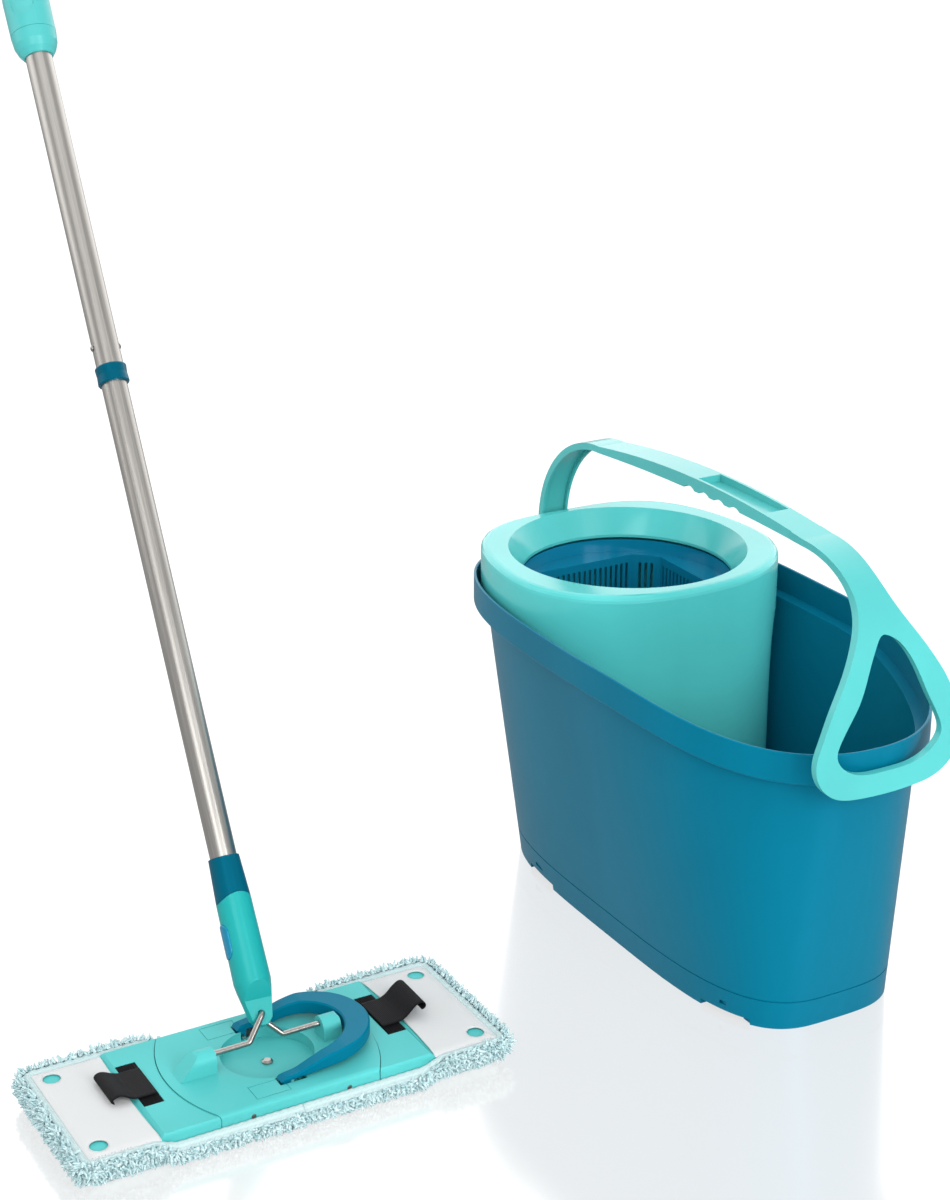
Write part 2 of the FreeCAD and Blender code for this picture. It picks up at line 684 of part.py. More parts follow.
def arch_face(outset, top_drop):
    """The arch seen from the side, filled down to the pivots, drawn in by an outset."""
    arm = mm("bucket_half_length") + mm("handle_gap") + mm("handle_thickness")
    bend, low_end = mm("handle_shoulder"), float(pivot) - 60
    top = float(handle_top)
    left_top = top - mm("handle_crown")
    cx = arm - bend
    radius = bend - outset
    right_y, left_y = top - bend, left_top - bend
    d = math.sqrt(0.5) * radius
    crown = top + mm("handle_crown") + 1 - outset - top_drop
    right_top = Vector(cx, 0, right_y + radius)
    left_peak = Vector(-cx, 0, left_y + radius)
    outer = cx + radius
    edges = [
        Part.makeLine(Vector(-outer, 0, low_end), Vector(-outer, 0, left_y)),
        Part.Arc(Vector(-outer, 0, left_y), Vector(-cx - d, 0, left_y + d), left_peak).toShape(),
        Part.Arc(left_peak, Vector(22, 0, crown), right_top).toShape(),
        Part.Arc(right_top, Vector(cx + d, 0, right_y + d), Vector(outer, 0, right_y)).toShape(),
        Part.makeLine(Vector(outer, 0, right_y), Vector(outer, 0, low_end)),
        Part.makeLine(Vector(outer, 0, low_end), Vector(-outer, 0, low_end)),
    ]
    return Part.Face(Part.Wire(edges))


def across(face, half):
    """A face in the XZ plane given depth to both sides."""
    moved = face.copy()
    moved.translate(Vector(0, -half, 0))
    return moved.extrude(Vector(0, 2 * half, 0))


def smooth_face(spots, x):
    """A closed smooth outline across the bucket, mirrored from its +Y half."""
    half = [Vector(x, y, z) for y, z in spots]
    other = [Vector(x, -y, z) for y, z in reversed(spots) if y > 1e-6]
    points = half + other
    curve = Part.BSplineCurve()
    curve.interpolate(Points=points, PeriodicFlag=True)
    return Part.Face(Part.Wire(curve.toShape()))


def handle_shape():
    thick, half = mm("handle_thickness"), mm("handle_half_width")
    wide, low = mm("loop_half_width"), float(pivot) - mm("loop_bar_height") * 0.3
    rise = mm("handle_rise")
    arch = across(arch_face(0, 0), wide + 24)
    arch = arch.cut(across(arch_face(thick, mm("grip_thickness") - thick), wide + 30))
    reach = mm("bucket_half_length") + 40
    bar = Part.makeBox(2 * reach, 2 * half, 400, Vector(-reach, -half, float(pivot)))
    end = Part.makeCylinder(half, 60, Vector(-reach, 0, float(pivot)), Vector(1, 0, 0))
    bar = bar.cut(Part.makeBox(reach, 4 * half, rise - 20, Vector(0, -2 * half, float(pivot) - 1)))

    def at(share):
        return float(pivot) + rise * share

    skirt = smooth_face([
        (0, at(1.18)), (half, at(1.09)), (half, at(0.94)), (half + 3, at(0.82)),
        (half + 17, at(0.667)), (half + 29, at(0.554)), (half + 41, at(0.428)),
        (half + 49, at(0.298)), (wide, at(0.179)), (wide - 5, at(0.077)), (wide - 20, at(0)),
        (wide - 44, low + 1), (0, low)], 130)
    skirt = skirt.extrude(Vector(150, 0, 0))
    mask = bar.fuse([end, skirt])
    body = arch.common(mask)
    hole_half = mm("loop_opening_half_width")
    hole = smooth_face([
        (0, at(0.702)), (11, at(0.661)), (18, at(0.601)), (hole_half - 17, at(0.423)),
        (hole_half - 3, at(0.274)), (hole_half, at(0.206)), (hole_half - 7, at(0.137)),
        (hole_half - 22, at(0.09)), (0, at(0.077))], 150)
    body = body.cut(hole.extrude(Vector(130, 0, 0)))
    tools = []
    for index in range(4):
        tools.append(Part.makeCylinder(
            11, 4 * half,
            Vector(-8 + 21 * index, -2 * half, float(handle_top) - mm("grip_thickness") - 1.5),
            Vector(0, 1, 0)))
    skin = mm("handle_skin")
    tools.append(Part.makeBox(92, 2 * (half - skin), 30,
                              Vector(1, skin - half, float(handle_top) + 0.5)))
    channel = across(arch_face(skin, 0), half - skin)
    tools.append(channel.common(Part.makeBox(
        reach - 20, 2 * half, 300, Vector(-reach, -half, float(pivot) + half + 8))))
    for side in (-1, 1):
        inner = side * (mm("bucket_half_length") + mm("handle_gap"))
        tools.append(Part.makeCylinder(mm("pivot_radius") + mm("pin_gap"), thick - 1.6,
                                       Vector(inner - side, 0, float(pivot)),
                                       Vector(side, 0, 0)))
    body = body.cut(tools)
    return soften(body, 1.4, lambda edge: edge.Length > 60)


def soften(shape, radius, wanted):
    """Round the wanted edges, as far as the shape allows."""
    for share in (1.0, 0.6, 0.35):
        edges = [edge for edge in shape.Edges if wanted(edge)]
        try:
            rounded = shape.makeFillet(radius * share, edges)
            if rounded.isValid() and len(rounded.Solids) == len(shape.Solids):
                return rounded
        except Exception:
            continue
    print("left sharp", radius)
    return shape


finish("bucket_handle", feature("BucketHandle", handle_shape()))
pin_length = size("handle_gap") + size("handle_thickness") - 1.6 + 9
for name, side in (("pour", 1), ("spinner", -1)):
    pin = cylinder("HandlePin" + name, size("pivot_radius"), pin_length - 1.8)
    turn = Rotation(Vector(0, 1, 0), 90 * side)
    place(pin, (size("bucket_half_length") - 9.2) * side, 0, pivot, turn)
    finish("handle_pin_" + name, pin)

# ---------------------------------------------------------------- mop head
# Head parts are drawn round the middle of the head: X across it, Y along it.

head_place = Placement(Vector(mm("mop_x"), mm("mop_y"), 0), Rotation())
half_w, half_l = size("plate_half_width"), size("plate_half_length")
bottom, top, skin = size("plate_bottom"), size("plate_top"), size("plate_skin")
seam_radius = (half_w * half_w + size("seam_bulge") * size("seam_bulge")) / (2 * size("seam_bulge"))
seam_centre = size("seam_half_length") + size("seam_bulge") - seam_radius
fold_y, fold_z = size("fold_offset"), size("fold_height")
pin_gap, gap = size("pin_gap"), size("running_gap")
SIDES = (("left", -1), ("right", 1))


def in_head(label, thing):
    """Finish a sub-part of the mop head where the head stands."""
    if thing.TypeId in ("Part::Box", "Part::Cylinder"):
        whole = document.addObject("Part::Compound", thing.Name + "_whole")
        whole.Links = [thing]
        thing = whole
    finish(label, thing, head_place)
    thing.setExpression("Placement.Base.x", "Sizes.mop_x")
    thing.setExpression("Placement.Base.y", "Sizes.mop_y")
    return thing


def centred_box(name, half_x, y_low, y_high, z_low, z_high, x=0):
    return box(name, half_x * 2, y_high - y_low, z_high - z_low, x - half_x, y_low, z_low)


def plate_block(name, z_low):
    """A block as long as the plate whose long upper edges are rounded."""
    r = size("plate_rounding")
    corner = [(half_w, top - r), (half_w - r * 0.076, top - r * 0.617),
              (half_w - r * 0.293, top - r * 0.293), (half_w - r * 0.617, top - r * 0.076),
              (half_w - r, top)]
    mirrored = [(x * -1, z) for x, z in reversed(corner)]
    return padded(name, "XZ_Plane", [(half_w * -1, z_low), (half_w, z_low)] + corner + mirrored,
                  half_l * 2 + 20, True)


def lens(name, inset, z_low, z_high):
    """The plan of the middle body: a strip between two bowed seams."""
    if inset:
        shape = centred_box(name + "_strip", half_w - inset, half_l * -1, half_l, z_low, z_high)
    else:
        shape = plate_block(name + "_strip", z_low)
    for side, sign in SIDES:
        disc = cylinder(name + "_seam_" + side, seam_radius - inset, z_high - z_low,
                        0, seam_centre * sign, z_low)
        shape = common(name + "_" + side, shape, disc)
    return shape


core_top = size("recess_floor")
body = lens("HeadTop", 0, bottom + 8, top)
body = cut("HeadShell", body, lens("HeadHollow", skin, bottom + 7, top - skin))
core = cylinder("HeadCore", size("recess_radius") + skin, top - bottom - 0.5, 0, 0, bottom)
pieces = [body, core]
for side, sign in SIDES:
    for face in (-1, 1):
        name = "Boss_%s_%d" % (side, face + 1)
        y = fold_y * sign
        pieces.append(box(name + "_in", 8, 12, top - skin / 2 - bottom - 5,
                          face * 36 - 4, y - 6, bottom + 5))
        pieces.append(box(name + "_out", 4, 12, top - skin / 2 - bottom - 5,
                          face * (half_w - 4.2) - 2, y - 6, bottom + 5))
        pieces.append(box("Pedal" + name, 3, 8, top - skin / 2 - bottom - 8,
                          face * 50 - 1.5, -8, bottom + 8))
lug_length = size("lug_outer") - size("lug_inner")
pedal_inner = size("pedal_rail") + 5 - size("pedal_width")
pedal_reach = size("pedal_bow_centre") - 8 + pedal_inner - 2.5
for side, sign in SIDES:
    post = cylinder("Lug_round_" + side, size("lug_half_width"), lug_length + 5, 0,
                    size("lug_inner") * sign, size("wire_height") - 3,
                    Rotation(Vector(1, 0, 0), -90 * sign))
    block = box("Lug_block_" + side, size("lug_half_width") * 2, lug_length + 5,
                size("wire_height") - 3 - (top - 1), size("lug_half_width") * -1,
                (size("lug_inner") if sign > 0 else (size("lug_inner") + lug_length + 5) * -1),
                top - 1)
    if sign > 0:
        back = [(pedal_reach - 0.8, size("wire_height") + 4), (pedal_reach, top),
                (pedal_reach, top - 2)]
    else:
        back = [(size("lug_inner") + 15, size("wire_height") + 4),
                (size("lug_outer") + 4, top), (size("lug_outer") + 4, top - 2)]
    outline = [(size("lug_inner"), top - 2), (size("lug_inner"), size("wire_height") + 7),
               (size("lug_inner") + 8, size("wire_height") + 7)] + back
    wedge = padded("Lug_wedge_" + side, "YZ_Plane",
                   [(y * sign, z) for y, z in outline], 40, True)
    pieces.append(common("Lug_" + side, fuse("Lug_form_" + side, post, block), wedge))
cuts = [cylinder("RecessCut", size("recess_radius"), 30, 0, 0, core_top)]
for side, sign in SIDES:
    cuts.append(cylinder("FoldBore_" + side, size("fold_pin_radius") + pin_gap, half_w * 2 + 4,
                         half_w * -1 - 2, fold_y * sign, fold_z, ALONG_X))
    cuts.append(cylinder("WireBore_" + side, size("wire_radius") + pin_gap, 14.5,
                         0, (size("lug_inner") - 2) * sign, size("wire_height"),
                         Rotation(Vector(1, 0, 0), -90 * sign)))
for face in (-1, 1):
    cuts.append(box("PedalSlot_%d" % (face + 1), 11, 22, 12, face * size("pedal_rail") - 5.5,
                    -10, top - 8))
    cuts.append(cylinder("PedalBore_%d" % (face + 1), 1.5 + pin_gap, 20,
                         face * size("pedal_rail") - 10, -4, top - 4.5, ALONG_X))
    for side, sign in SIDES:
        cuts.append(box("ArmWindow_%s_%d" % (side, face + 1), 16, 40, 12,
                        face * 48 - 8, 64 * sign - 20, bottom + 2))
    pad_x, pad_y = face * 46, -33
    groove = size("pad_groove")
    cuts.append(cut("PadGroove_%d" % (face + 1),
                    box("PadOutside_%d" % (face + 1), 18, 28, 4, pad_x - 9, pad_y, top - 0.5),
                    box("PadInside_%d" % (face + 1), 18 - groove * 2, 28 - groove * 2, 8,
                        groove + (pad_x - 9), groove + pad_y, top - 2)))
cuts.append(cylinder("ScrewHole", 2.1, 20, 0, 0, bottom))
in_head("head_base", cut("HeadBase", fuse("HeadForm", *pieces), fuse("HeadCuts", *cuts)))

for side, sign in SIDES:
    pin = cylinder("FoldPin_" + side, size("fold_pin_radius"), half_w * 2 - 1,
                   half_w * -1 + 0.5, fold_y * sign, fold_z, ALONG_X)
    in_head("fold_pin_" + side, cut("FoldPinClear_" + side, pin,
                                    cylinder("CoreClear_" + side, 34, 30, 0, 0, bottom)))
screw = turned("RecessScrew", [
    (0, bottom + 2), (2, bottom + 2), (2, core_top + 0.1), (4.2, core_top + 0.1),
    (4.2, core_top + 1.5), (2.6, core_top + 2.6), (0, core_top + 2.6)])
in_head("recess_screw", screw)


def wing(side, sign):
    """A folding wing: a ribbed tray with two arms that reach back to the fold pin."""
    name = "Wing" + side.title()
    slope = size("pocket_start") - 3
    outline = padded(name + "_side", "YZ_Plane", [
        (30 * sign, bottom), (30 * sign, top - 1), (slope * sign, top - 1),
        ((slope + 3) * sign, top - 3.8), (half_l * sign, top - 4.4), (half_l * sign, bottom)],
        half_w * 2, True)
    disc = cylinder(name + "_seam", seam_radius + size("seam_gap"), 60,
                    0, seam_centre * sign, -10)
    outline = common(name + "_rounded", outline, plate_block(name + "_block", bottom - 5))
    tray = cut(name + "_tray", outline, disc)
    rooms = []
    for index in range(4):
        low = 86 + 20 * index
        length = 17
        rooms.append(box(name + "_room_%d" % index, half_w * 2 - 6, length,
                         top - 4.4 - 2.6 - bottom + 5, half_w * -1 + 3,
                         (low if sign > 0 else -low - length), bottom - 5))
    patch_y = (size("pocket_start") - 19) if sign > 0 else (size("pocket_start") - 3) * -1
    rooms.append(box(name + "_patch", 60, 16, 4, -38, patch_y, top - 2.2))
    tray = cut(name + "_ribbed", tray, fuse(name + "_rooms", *rooms))
    arms = []
    for face in (-1, 1):
        arm_low = fold_z - 4.5
        reach = 42
        arms.append(box(name + "_arm_%d" % (face + 1), 13, reach, 8.6, face * 48 - 6.5,
                        (fold_y if sign > 0 else (fold_y + reach) * -1), arm_low))
        arms.append(cylinder(name + "_knuckle_%d" % (face + 1), size("knuckle_radius"), 13,
                             face * 48 - 6.5, fold_y * sign, fold_z, ALONG_X))
    bore = cylinder(name + "_bore", size("fold_pin_radius") + pin_gap, half_w * 2,
                    half_w * -1, fold_y * sign, fold_z, ALONG_X)
    in_head("wing_" + side, cut(name, fuse(name + "_form", tray, *arms), bore))
    patch_low = patch_y + 0.3
    in_head("hook_patch_" + side, box(name + "_hooks", 59.4, 15.4, 1.2, -37.7, patch_low,
                                      top - 2.1))


for side, sign in SIDES:
    wing(side, sign)

# ---------------------------------------------------------------- foot pedal


def pedal_shape():
    bow, rail = mm("pedal_bow_centre"), mm("pedal_rail")
    outer = rail + 5
    inner = outer - mm("pedal_width")
    high = mm("plate_top") + 2 + mm("pedal_thickness")
    plan_out = [
        Part.makeLine(Vector(outer, -9, 0), Vector(outer, bow, 0)),
        Part.Arc(Vector(outer, bow, 0), Vector(0, bow + outer, 0),
                 Vector(-outer, bow, 0)).toShape(),
        Part.makeLine(Vector(-outer, bow, 0), Vector(-outer, -9, 0)),
        Part.makeLine(Vector(-outer, -9, 0), Vector(outer, -9, 0)),
    ]
    plan_in = [
        Part.makeLine(Vector(rail - 4.5, -30, 0), Vector(rail - 4.5, 4, 0)),
        Part.makeLine(Vector(rail - 4.5, 4, 0), Vector(inner, bow - 8, 0)),
        Part.Arc(Vector(inner, bow - 8, 0), Vector(0, bow - 8 + inner, 0),
                 Vector(-inner, bow - 8, 0)).toShape(),
        Part.makeLine(Vector(-inner, bow - 8, 0), Vector(4.5 - rail, 4, 0)),
        Part.makeLine(Vector(4.5 - rail, 4, 0), Vector(4.5 - rail, -30, 0)),
        Part.makeLine(Vector(4.5 - rail, -30, 0), Vector(rail - 4.5, -30, 0)),
    ]
    solids = [Part.Face(Part.Wire(edges)).extrude(Vector(0, 0, 60)) for edges in
              (plan_out, plan_in)]
    crescent = solids[0].cut(solids[1])
    low = mm("plate_top") + 0.8
    profile = [
        (-9, low + 0.4), (-6, low + 3.4), (6, low + 5), (30, high + 1), (bow + 8, high + 3.5),
        (bow + outer + 2, high + 4), (bow + outer + 2, low + 5.4), (bow + 14, low + 3.6),
        (14, low + 0.4), (-6, low - 0.2)]
    spots = [Vector(-60, y, z) for y, z in profile]
    side = Part.Face(Part.makePolygon(spots + [spots[0]])).extrude(Vector(120, 0, 0))
    bow_solid = crescent.common(side)
    rim = [edge for edge in bow_solid.Edges if edge.BoundBox.ZMin > low + 3.2]
    bow_solid = bow_solid.makeChamfer(1.2, rim)
    ears, bores = [], []
    for face in (-1, 1):
        x = face * rail
        pivot = Vector(x - 4, -4, mm("plate_top") - 4.5)
        ears.append(Part.makeBox(8, 6.4, 6.5, Vector(x - 4, -7.2, mm("plate_top") - 4.5)))
        ears.append(Part.makeCylinder(3.2, 8, pivot, Vector(1, 0, 0)))
        bores.append(Part.makeCylinder(1.5 + mm("pin_gap"), 20, pivot - Vector(6, 0, 0),
                                       Vector(1, 0, 0)))
    return bow_solid.fuse(ears).cut(bores)


in_head("foot_pedal", feature("FootPedal", pedal_shape()))
for name, face in (("back", -1), ("front", 1)):
    in_head("pedal_pin_" + name, cylinder(
        "PedalPin_" + name, 1.5, 16.5, face * size("pedal_rail") - 8.25 + face * 0.6, -4,
        top - 4.5, ALONG_X))

# ---------------------------------------------------------------- cover


MITRE = math.tan(math.radians(41.5))


def cover_shape(part):
    """A soft pad with a raised border, cut to a mitre below each folding axis."""
    w, l = mm("plate_half_width"), mm("plate_half_length")
    f, edge = mm("fringe"), 0.6
    pile, rise = mm("pile_height"), mm("pile_side_height")
    block = Part.makeBox(2 * (w + f), 2 * (l + f), rise, Vector(-w - f, -l - f, 0))
    block = soften(block, 7, lambda e: e.BoundBox.ZLength > rise - 0.1)
    well = Part.makeBox(2 * (w + edge), 2 * (l + edge), rise, Vector(-w - edge, -l - edge, pile))
    pad = block.cut(well)
    fold, height = mm("fold_offset"), mm("fold_height")
    slack = 0.5
    tops = height + 5
    if part == 0:
        run = fold - slack
        spots = [(-(run - height * MITRE), 0), (run - height * MITRE, 0),
                 (run + 5 * MITRE, tops), (-(run + 5 * MITRE), tops)]
    else:
        run = fold + slack
        spots = [((run + height * MITRE) * part, 0), (220 * part, 0),
                 (220 * part, tops), ((run - 5 * MITRE) * part, tops)]
    spots = [Vector(-100, y, z) for y, z in spots]
    slab = Part.Face(Part.makePolygon(spots + [spots[0]])).extrude(Vector(200, 0, 0))
    return pad.common(slab)


in_head("cover_center", feature("CoverCenter", cover_shape(0)))
for side, sign in SIDES:
    in_head("cover_" + side, feature("Cover" + side.title(), cover_shape(sign)))
    start, end = size("pocket_start"), half_l + 0.4 + size("pocket_skin")
    reach = end - start
    y_low = start if sign > 0 else end * -1
    top_skin = size("pocket_skin")
    sleeve = box("Pocket_out_" + side, (half_w + 0.35) * 2, reach, 7.6,
                 (half_w + 0.35) * -1, y_low, top - 11.1 + top_skin)
    room_length = half_l + 0.3 - start + 5
    room = box("Pocket_in_" + side, half_w * 2 + 2, room_length, 30, half_w * -1 - 1,
               ((start - 5) if sign > 0 else (half_l + 0.3) * -1), top - 3.5 - 30)
    sleeve = cut("Pocket_shell_" + side, sleeve, room)
    holes = []
    for face in (-1, 1):
        holes.append(cylinder("Pocket_hole_%s_%d" % (side, face + 1), 6.5, 30,
                              face * 49, sign * (half_l - 9), bottom))
    in_head("pocket_" + side, cut("Pocket_" + side, sleeve, fuse("Pocket_holes_" + side, *holes)))


TABS = {
    -1: ((-18, 0), (-8, 0.1), (-1, 0.4), (4, 2.4), (8.5, 4.7), (12.5, 5.6), (16, 4.4),
         (17.2, 2.2), (15.6, 0.7)),
    1: ((-18, 0), (-8, 0.1), (-1, 0.6), (4, 3.6), (9, 8), (14, 11), (17.6, 10.8),
        (19.6, 8.4), (18.6, 6.2)),
}


def tab_shape(sign):
    """A strap that lies on the hook patch, rises over the pocket and curls down."""
    low, start = mm("plate_top") - 0.6, mm("pocket_start")
    half, thick = mm("tab_half_width"), mm("tab_thickness")
    middle = -8
    line = Part.BSplineCurve()
    line.interpolate([Vector(0, sign * (start + run), low + thick / 2 + rise) for run, rise in TABS[sign]])
    steps = 28
    sides = [[], []]
    for index in range(steps + 1):
        parameter = line.FirstParameter + (line.LastParameter - line.FirstParameter) * index / steps
        spot, along = line.value(parameter), line.tangent(parameter)[0]
        across_way = Vector(0, -along.z, along.y)
        sides[0].append(spot + across_way * (thick / 2))
        sides[1].append(spot - across_way * (thick / 2))
    curves = []
    for points in sides:
        curve = Part.BSplineCurve()
        curve.interpolate(points)
        curves.append(curve.toShape())
    edges = curves + [Part.makeLine(sides[0][0], sides[1][0]),
                      Part.makeLine(sides[0][-1], sides[1][-1])]
    face = Part.Face(Part.Wire(Part.__sortEdges__(edges)))
    face.translate(Vector(middle - half, 0, 0))
    return face.extrude(Vector(2 * half, 0, 0))


for side, sign in SIDES:
    in_head("pull_tab_" + side, feature("PullTab" + side.title(), tab_shape(sign)))

# ---------------------------------------------------------------- wire yoke and pole
# The yoke stands on the wire's axis. The pole is drawn upwards from the eye of its socket:
# X is the direction of the eye's hole, Y runs along the head, Z along the pole.

lean = Rotation(Vector(0, 1, 0), -mm("pole_lean"))
yoke_place = Placement(Vector(mm("mop_x"), mm("mop_y"), mm("wire_height")), lean)
eye = yoke_place.multVec(Vector(0, 0, mm("apex_rise")))
pole_place = Placement(eye, lean * Rotation(Vector(1, 0, 0), -mm("pole_swing")))


def bent_wire(points, bend):
    """Lines joined by arcs of one bending radius, as a wire."""
    edges = []
    start = points[0]
    for before, corner, after in zip(points, points[1:], points[2:]):
        back, on = (before - corner).normalize(), (after - corner).normalize()
        half = math.acos(max(-1.0, min(1.0, back.dot(on)))) / 2
        reach = bend / math.tan(half)
        first, last = corner + back * reach, corner + on * reach
        middle_way = (back + on).normalize()
        middle = corner + middle_way * (bend / math.sin(half) - bend)
        if (first - start).Length > 1e-6:
            edges.append(Part.makeLine(start, first))
        edges.append(Part.Arc(first, middle, last).toShape())
        start = last
    edges.append(Part.makeLine(start, points[-1]))
    return Part.Wire(edges)


def yoke_shape():
    end, straight = mm("lug_outer") - 14, mm("lug_inner") - 2
    side, low, rise = mm("eye_half_thickness") + 3.2, mm("bend_half_length"), mm("apex_rise")
    points = [
        Vector(0, -end, 0), Vector(0, -straight, 0), Vector(side, -low, 0),
        Vector(side, 0, rise), Vector(-side, 0, rise),
        Vector(-side, low, 0), Vector(0, straight, 0), Vector(0, end, 0)]
    path = bent_wire(points, 3.0)
    ring = Part.Wire(Part.makeCircle(mm("wire_radius"), points[0], Vector(0, 1, 0)))
    return Part.Solid(path.makePipe(Part.Face(ring)).Shells[0])


yoke = finish("wire_yoke", feature("WireYoke", yoke_shape()), yoke_place)


def in_pole(label, thing, local=None):
    """Finish a sub-part of the pole where the pole leans."""
    return finish(label, thing, pole_place * local if local else pole_place)


def below_wave(drop):
    """Everything below the wavy joint between socket and connector."""
    reach, rise, high = 18, mm("joint_wave"), mm("socket_top") - drop
    first, last = Vector(-20, -reach, high - rise), Vector(-20, reach, high - rise)
    edges = [
        Part.Arc(first, Vector(-20, 0, high + rise), last).toShape(),
        Part.makeLine(last, Vector(-20, reach, -30)),
        Part.makeLine(Vector(-20, reach, -30), Vector(-20, -reach, -30)),
        Part.makeLine(Vector(-20, -reach, -30), first),
    ]
    return Part.Face(Part.Wire(edges)).extrude(Vector(40, 0, 0))


def button_prism(clearance, from_y, to_y):
    """The button's long round-ended outline, pushed along Y."""
    half_w = mm("button_half_width") + clearance
    half_l, middle = mm("button_half_length") - mm("button_half_width"), mm("button_place")
    depth = Vector(0, to_y - from_y, 0)
    edges = [
        Part.makeLine(Vector(-half_w, from_y, middle - half_l),
                      Vector(-half_w, from_y, middle + half_l)),
        Part.Arc(Vector(-half_w, from_y, middle + half_l),
                 Vector(0, from_y, middle + half_l + half_w),
                 Vector(half_w, from_y, middle + half_l)).toShape(),
        Part.makeLine(Vector(half_w, from_y, middle + half_l),
                      Vector(half_w, from_y, middle - half_l)),
        Part.Arc(Vector(half_w, from_y, middle - half_l),
                 Vector(0, from_y, middle - half_l - half_w),
                 Vector(-half_w, from_y, middle - half_l)).toShape(),
    ]
    return Part.Face(Part.Wire(edges)).extrude(depth)


spigot = size("spigot_radius")
eye_r, belly = size("eye_radius"), size("socket_belly")
socket_form = turned("SocketForm", [
    (0, eye_r * -1), (eye_r * 0.55, eye_r * -0.86), (eye_r * 0.9, eye_r * -0.45), (eye_r, 0),
    (eye_r + 1.3, belly * 0.3), (size("socket_radius") - 0.9, belly * 0.75),
    (size("socket_radius"), belly), (size("socket_radius") - 0.1, belly + 8),
    (size("joint_radius"), size("socket_top")), (size("joint_radius"), size("socket_top") + 8),
    (spigot + 0.2, size("socket_top") + 8), (spigot + 0.2, 38), (0, 38)])
flats = []
for face, turn in ((-1, 180), (1, 0)):
    half = size("eye_half_thickness")
    cheek = padded("SocketCheek_%d" % (face + 1), "XZ_Plane", [
        (half * face, -20), (30 * face, -20), (30 * face, 40), ((half + 9.5) * face, 24),
        (half * face, 11)], 60, True)
    flats.append(cheek)
eye_hole = cylinder("EyeHole", size("wire_radius") + size("eye_gap"), 60, -30, 0, 0, ALONG_X)
window = feature("ButtonWindow", button_prism(0.3, -30, -2))
socket_solid = common("SocketBelow", socket_form, feature("WaveBelow", below_wave(0.15)))
in_pole("lower_socket", cut("LowerSocket", socket_solid,
                            fuse("SocketCuts", *flats, eye_hole, window)))

tube_r, tube_t = size("lower_tube_radius"), size("tube_wall")
connector_form = turned("ConnectorForm", [
    (spigot - 2.5, 40), (spigot, 40), (spigot, 78), (size("joint_radius"), 78),
    (size("joint_radius"), size("socket_top")), (size("connector_radius"), size("connector_top")),
    (tube_r + 0.1, size("connector_top")), (tube_r + 0.1, size("lower_tube_start")),
    (0, size("lower_tube_start")), (0, size("lower_tube_start") - 3),
    (spigot - 2.5, size("lower_tube_start") - 3)])
shell_ring = cut("WaveShell", feature("WaveAbove", below_wave(-0.15)),
                 cylinder("WaveCore", spigot, 200, 0, 0, -50))
in_pole("tube_connector", cut("TubeConnector", connector_form, fuse(
    "ConnectorCuts", shell_ring, feature("SpigotWindow", button_prism(0.3, -30, -3)))))

face_radius = mm("socket_radius") + 0.5
button = button_prism(0, -30, -5.6).common(
    Part.makeCylinder(face_radius, 60, Vector(0, 0, 30)))
in_pole("release_button", feature("ReleaseButton", soften(
    button, 0.8, lambda edge: edge.BoundBox.YMin < -12 and edge.Length > 8)))


def leaf_shape():
    """A bowed leaf between the button's back and the far side of the spigot."""
    middle, half, thick = mm("button_place"), 13, 0.5
    back, front = mm("spigot_radius") - 2.5 - 1.0, -5.3
    outer = Part.Arc(Vector(-3, back, middle - half), Vector(-3, front, middle),
                     Vector(-3, back, middle + half)).toShape()
    inner = Part.Arc(Vector(-3, back, middle - half + thick * 1.6),
                     Vector(-3, front + thick, middle),
                     Vector(-3, back, middle + half - thick * 1.6)).toShape()
    edges = [outer, inner,
             Part.makeLine(outer.Vertexes[0].Point, inner.Vertexes[0].Point),
             Part.makeLine(outer.Vertexes[-1].Point, inner.Vertexes[-1].Point)]
    return Part.Face(Part.Wire(Part.__sortEdges__(edges))).extrude(Vector(6, 0, 0))


in_pole("button_spring", feature("ButtonSpring", leaf_shape()))


def tube(name, radius, low, high):
    """A thin round tube along the pole."""
    return cut(name, cylinder(name + "_outside", radius, high - low, 0, 0, low),
               cylinder(name + "_inside", radius - tube_t, high - low + 20, 0, 0, low - 10))


lower_end = size("lower_tube_end")
in_pole("lower_tube", tube("LowerTube", tube_r, size("lower_tube_start") + 0.2, lower_end))
upper_r = size("upper_tube_radius")
rivet = size("rivet_place")
rivet_holes = cylinder("RivetHoles", 1.5 + pin_gap, 60, 0, -30, rivet, ALONG_Y)
in_pole("upper_tube", cut("UpperTube", tube("UpperTubeForm", upper_r, upper_tube_start,
                                            upper_tube_end), rivet_holes))
for name, turn in (("left", 90), ("right", -90)):
    head = turned("Rivet_" + name, [
        (0, upper_r - tube_t + 0.05), (1.5, upper_r - tube_t + 0.05), (1.5, upper_r + 0.2),
        (2.6, upper_r + 0.2), (2.2, upper_r + 1), (1.2, upper_r + 1.5), (0, upper_r + 1.6)])
    in_pole("tube_rivet_" + name, head,
            Placement(Vector(0, 0, mm("rivet_place")), Rotation(Vector(1, 0, 0), turn)))

nut_low, nut_r = nut_place, size("nut_radius")
chamber = nut_r + 0.1
in_pole("tube_top_bearing", turned("TubeTopBearing", [
    (5.6, nut_low - 4), (tube_r - tube_t - 0.1, nut_low - 4),
    (tube_r - tube_t - 0.1, lower_end + 0.3), (tube_r - 0.05, lower_end + 0.3),
    (tube_r - 0.05, lower_end + 2), (chamber, lower_end + 2), (chamber, nut_low),
    (5.6, nut_low)]))
retainer_low = nut_low + size("nut_length") + 0.6
in_pole("nut_retainer", turned("NutRetainer", [
    (5.6, retainer_low), (chamber - 0.05, retainer_low), (chamber - 0.05, retainer_low + 4),
    (5.6, retainer_low + 4)]))


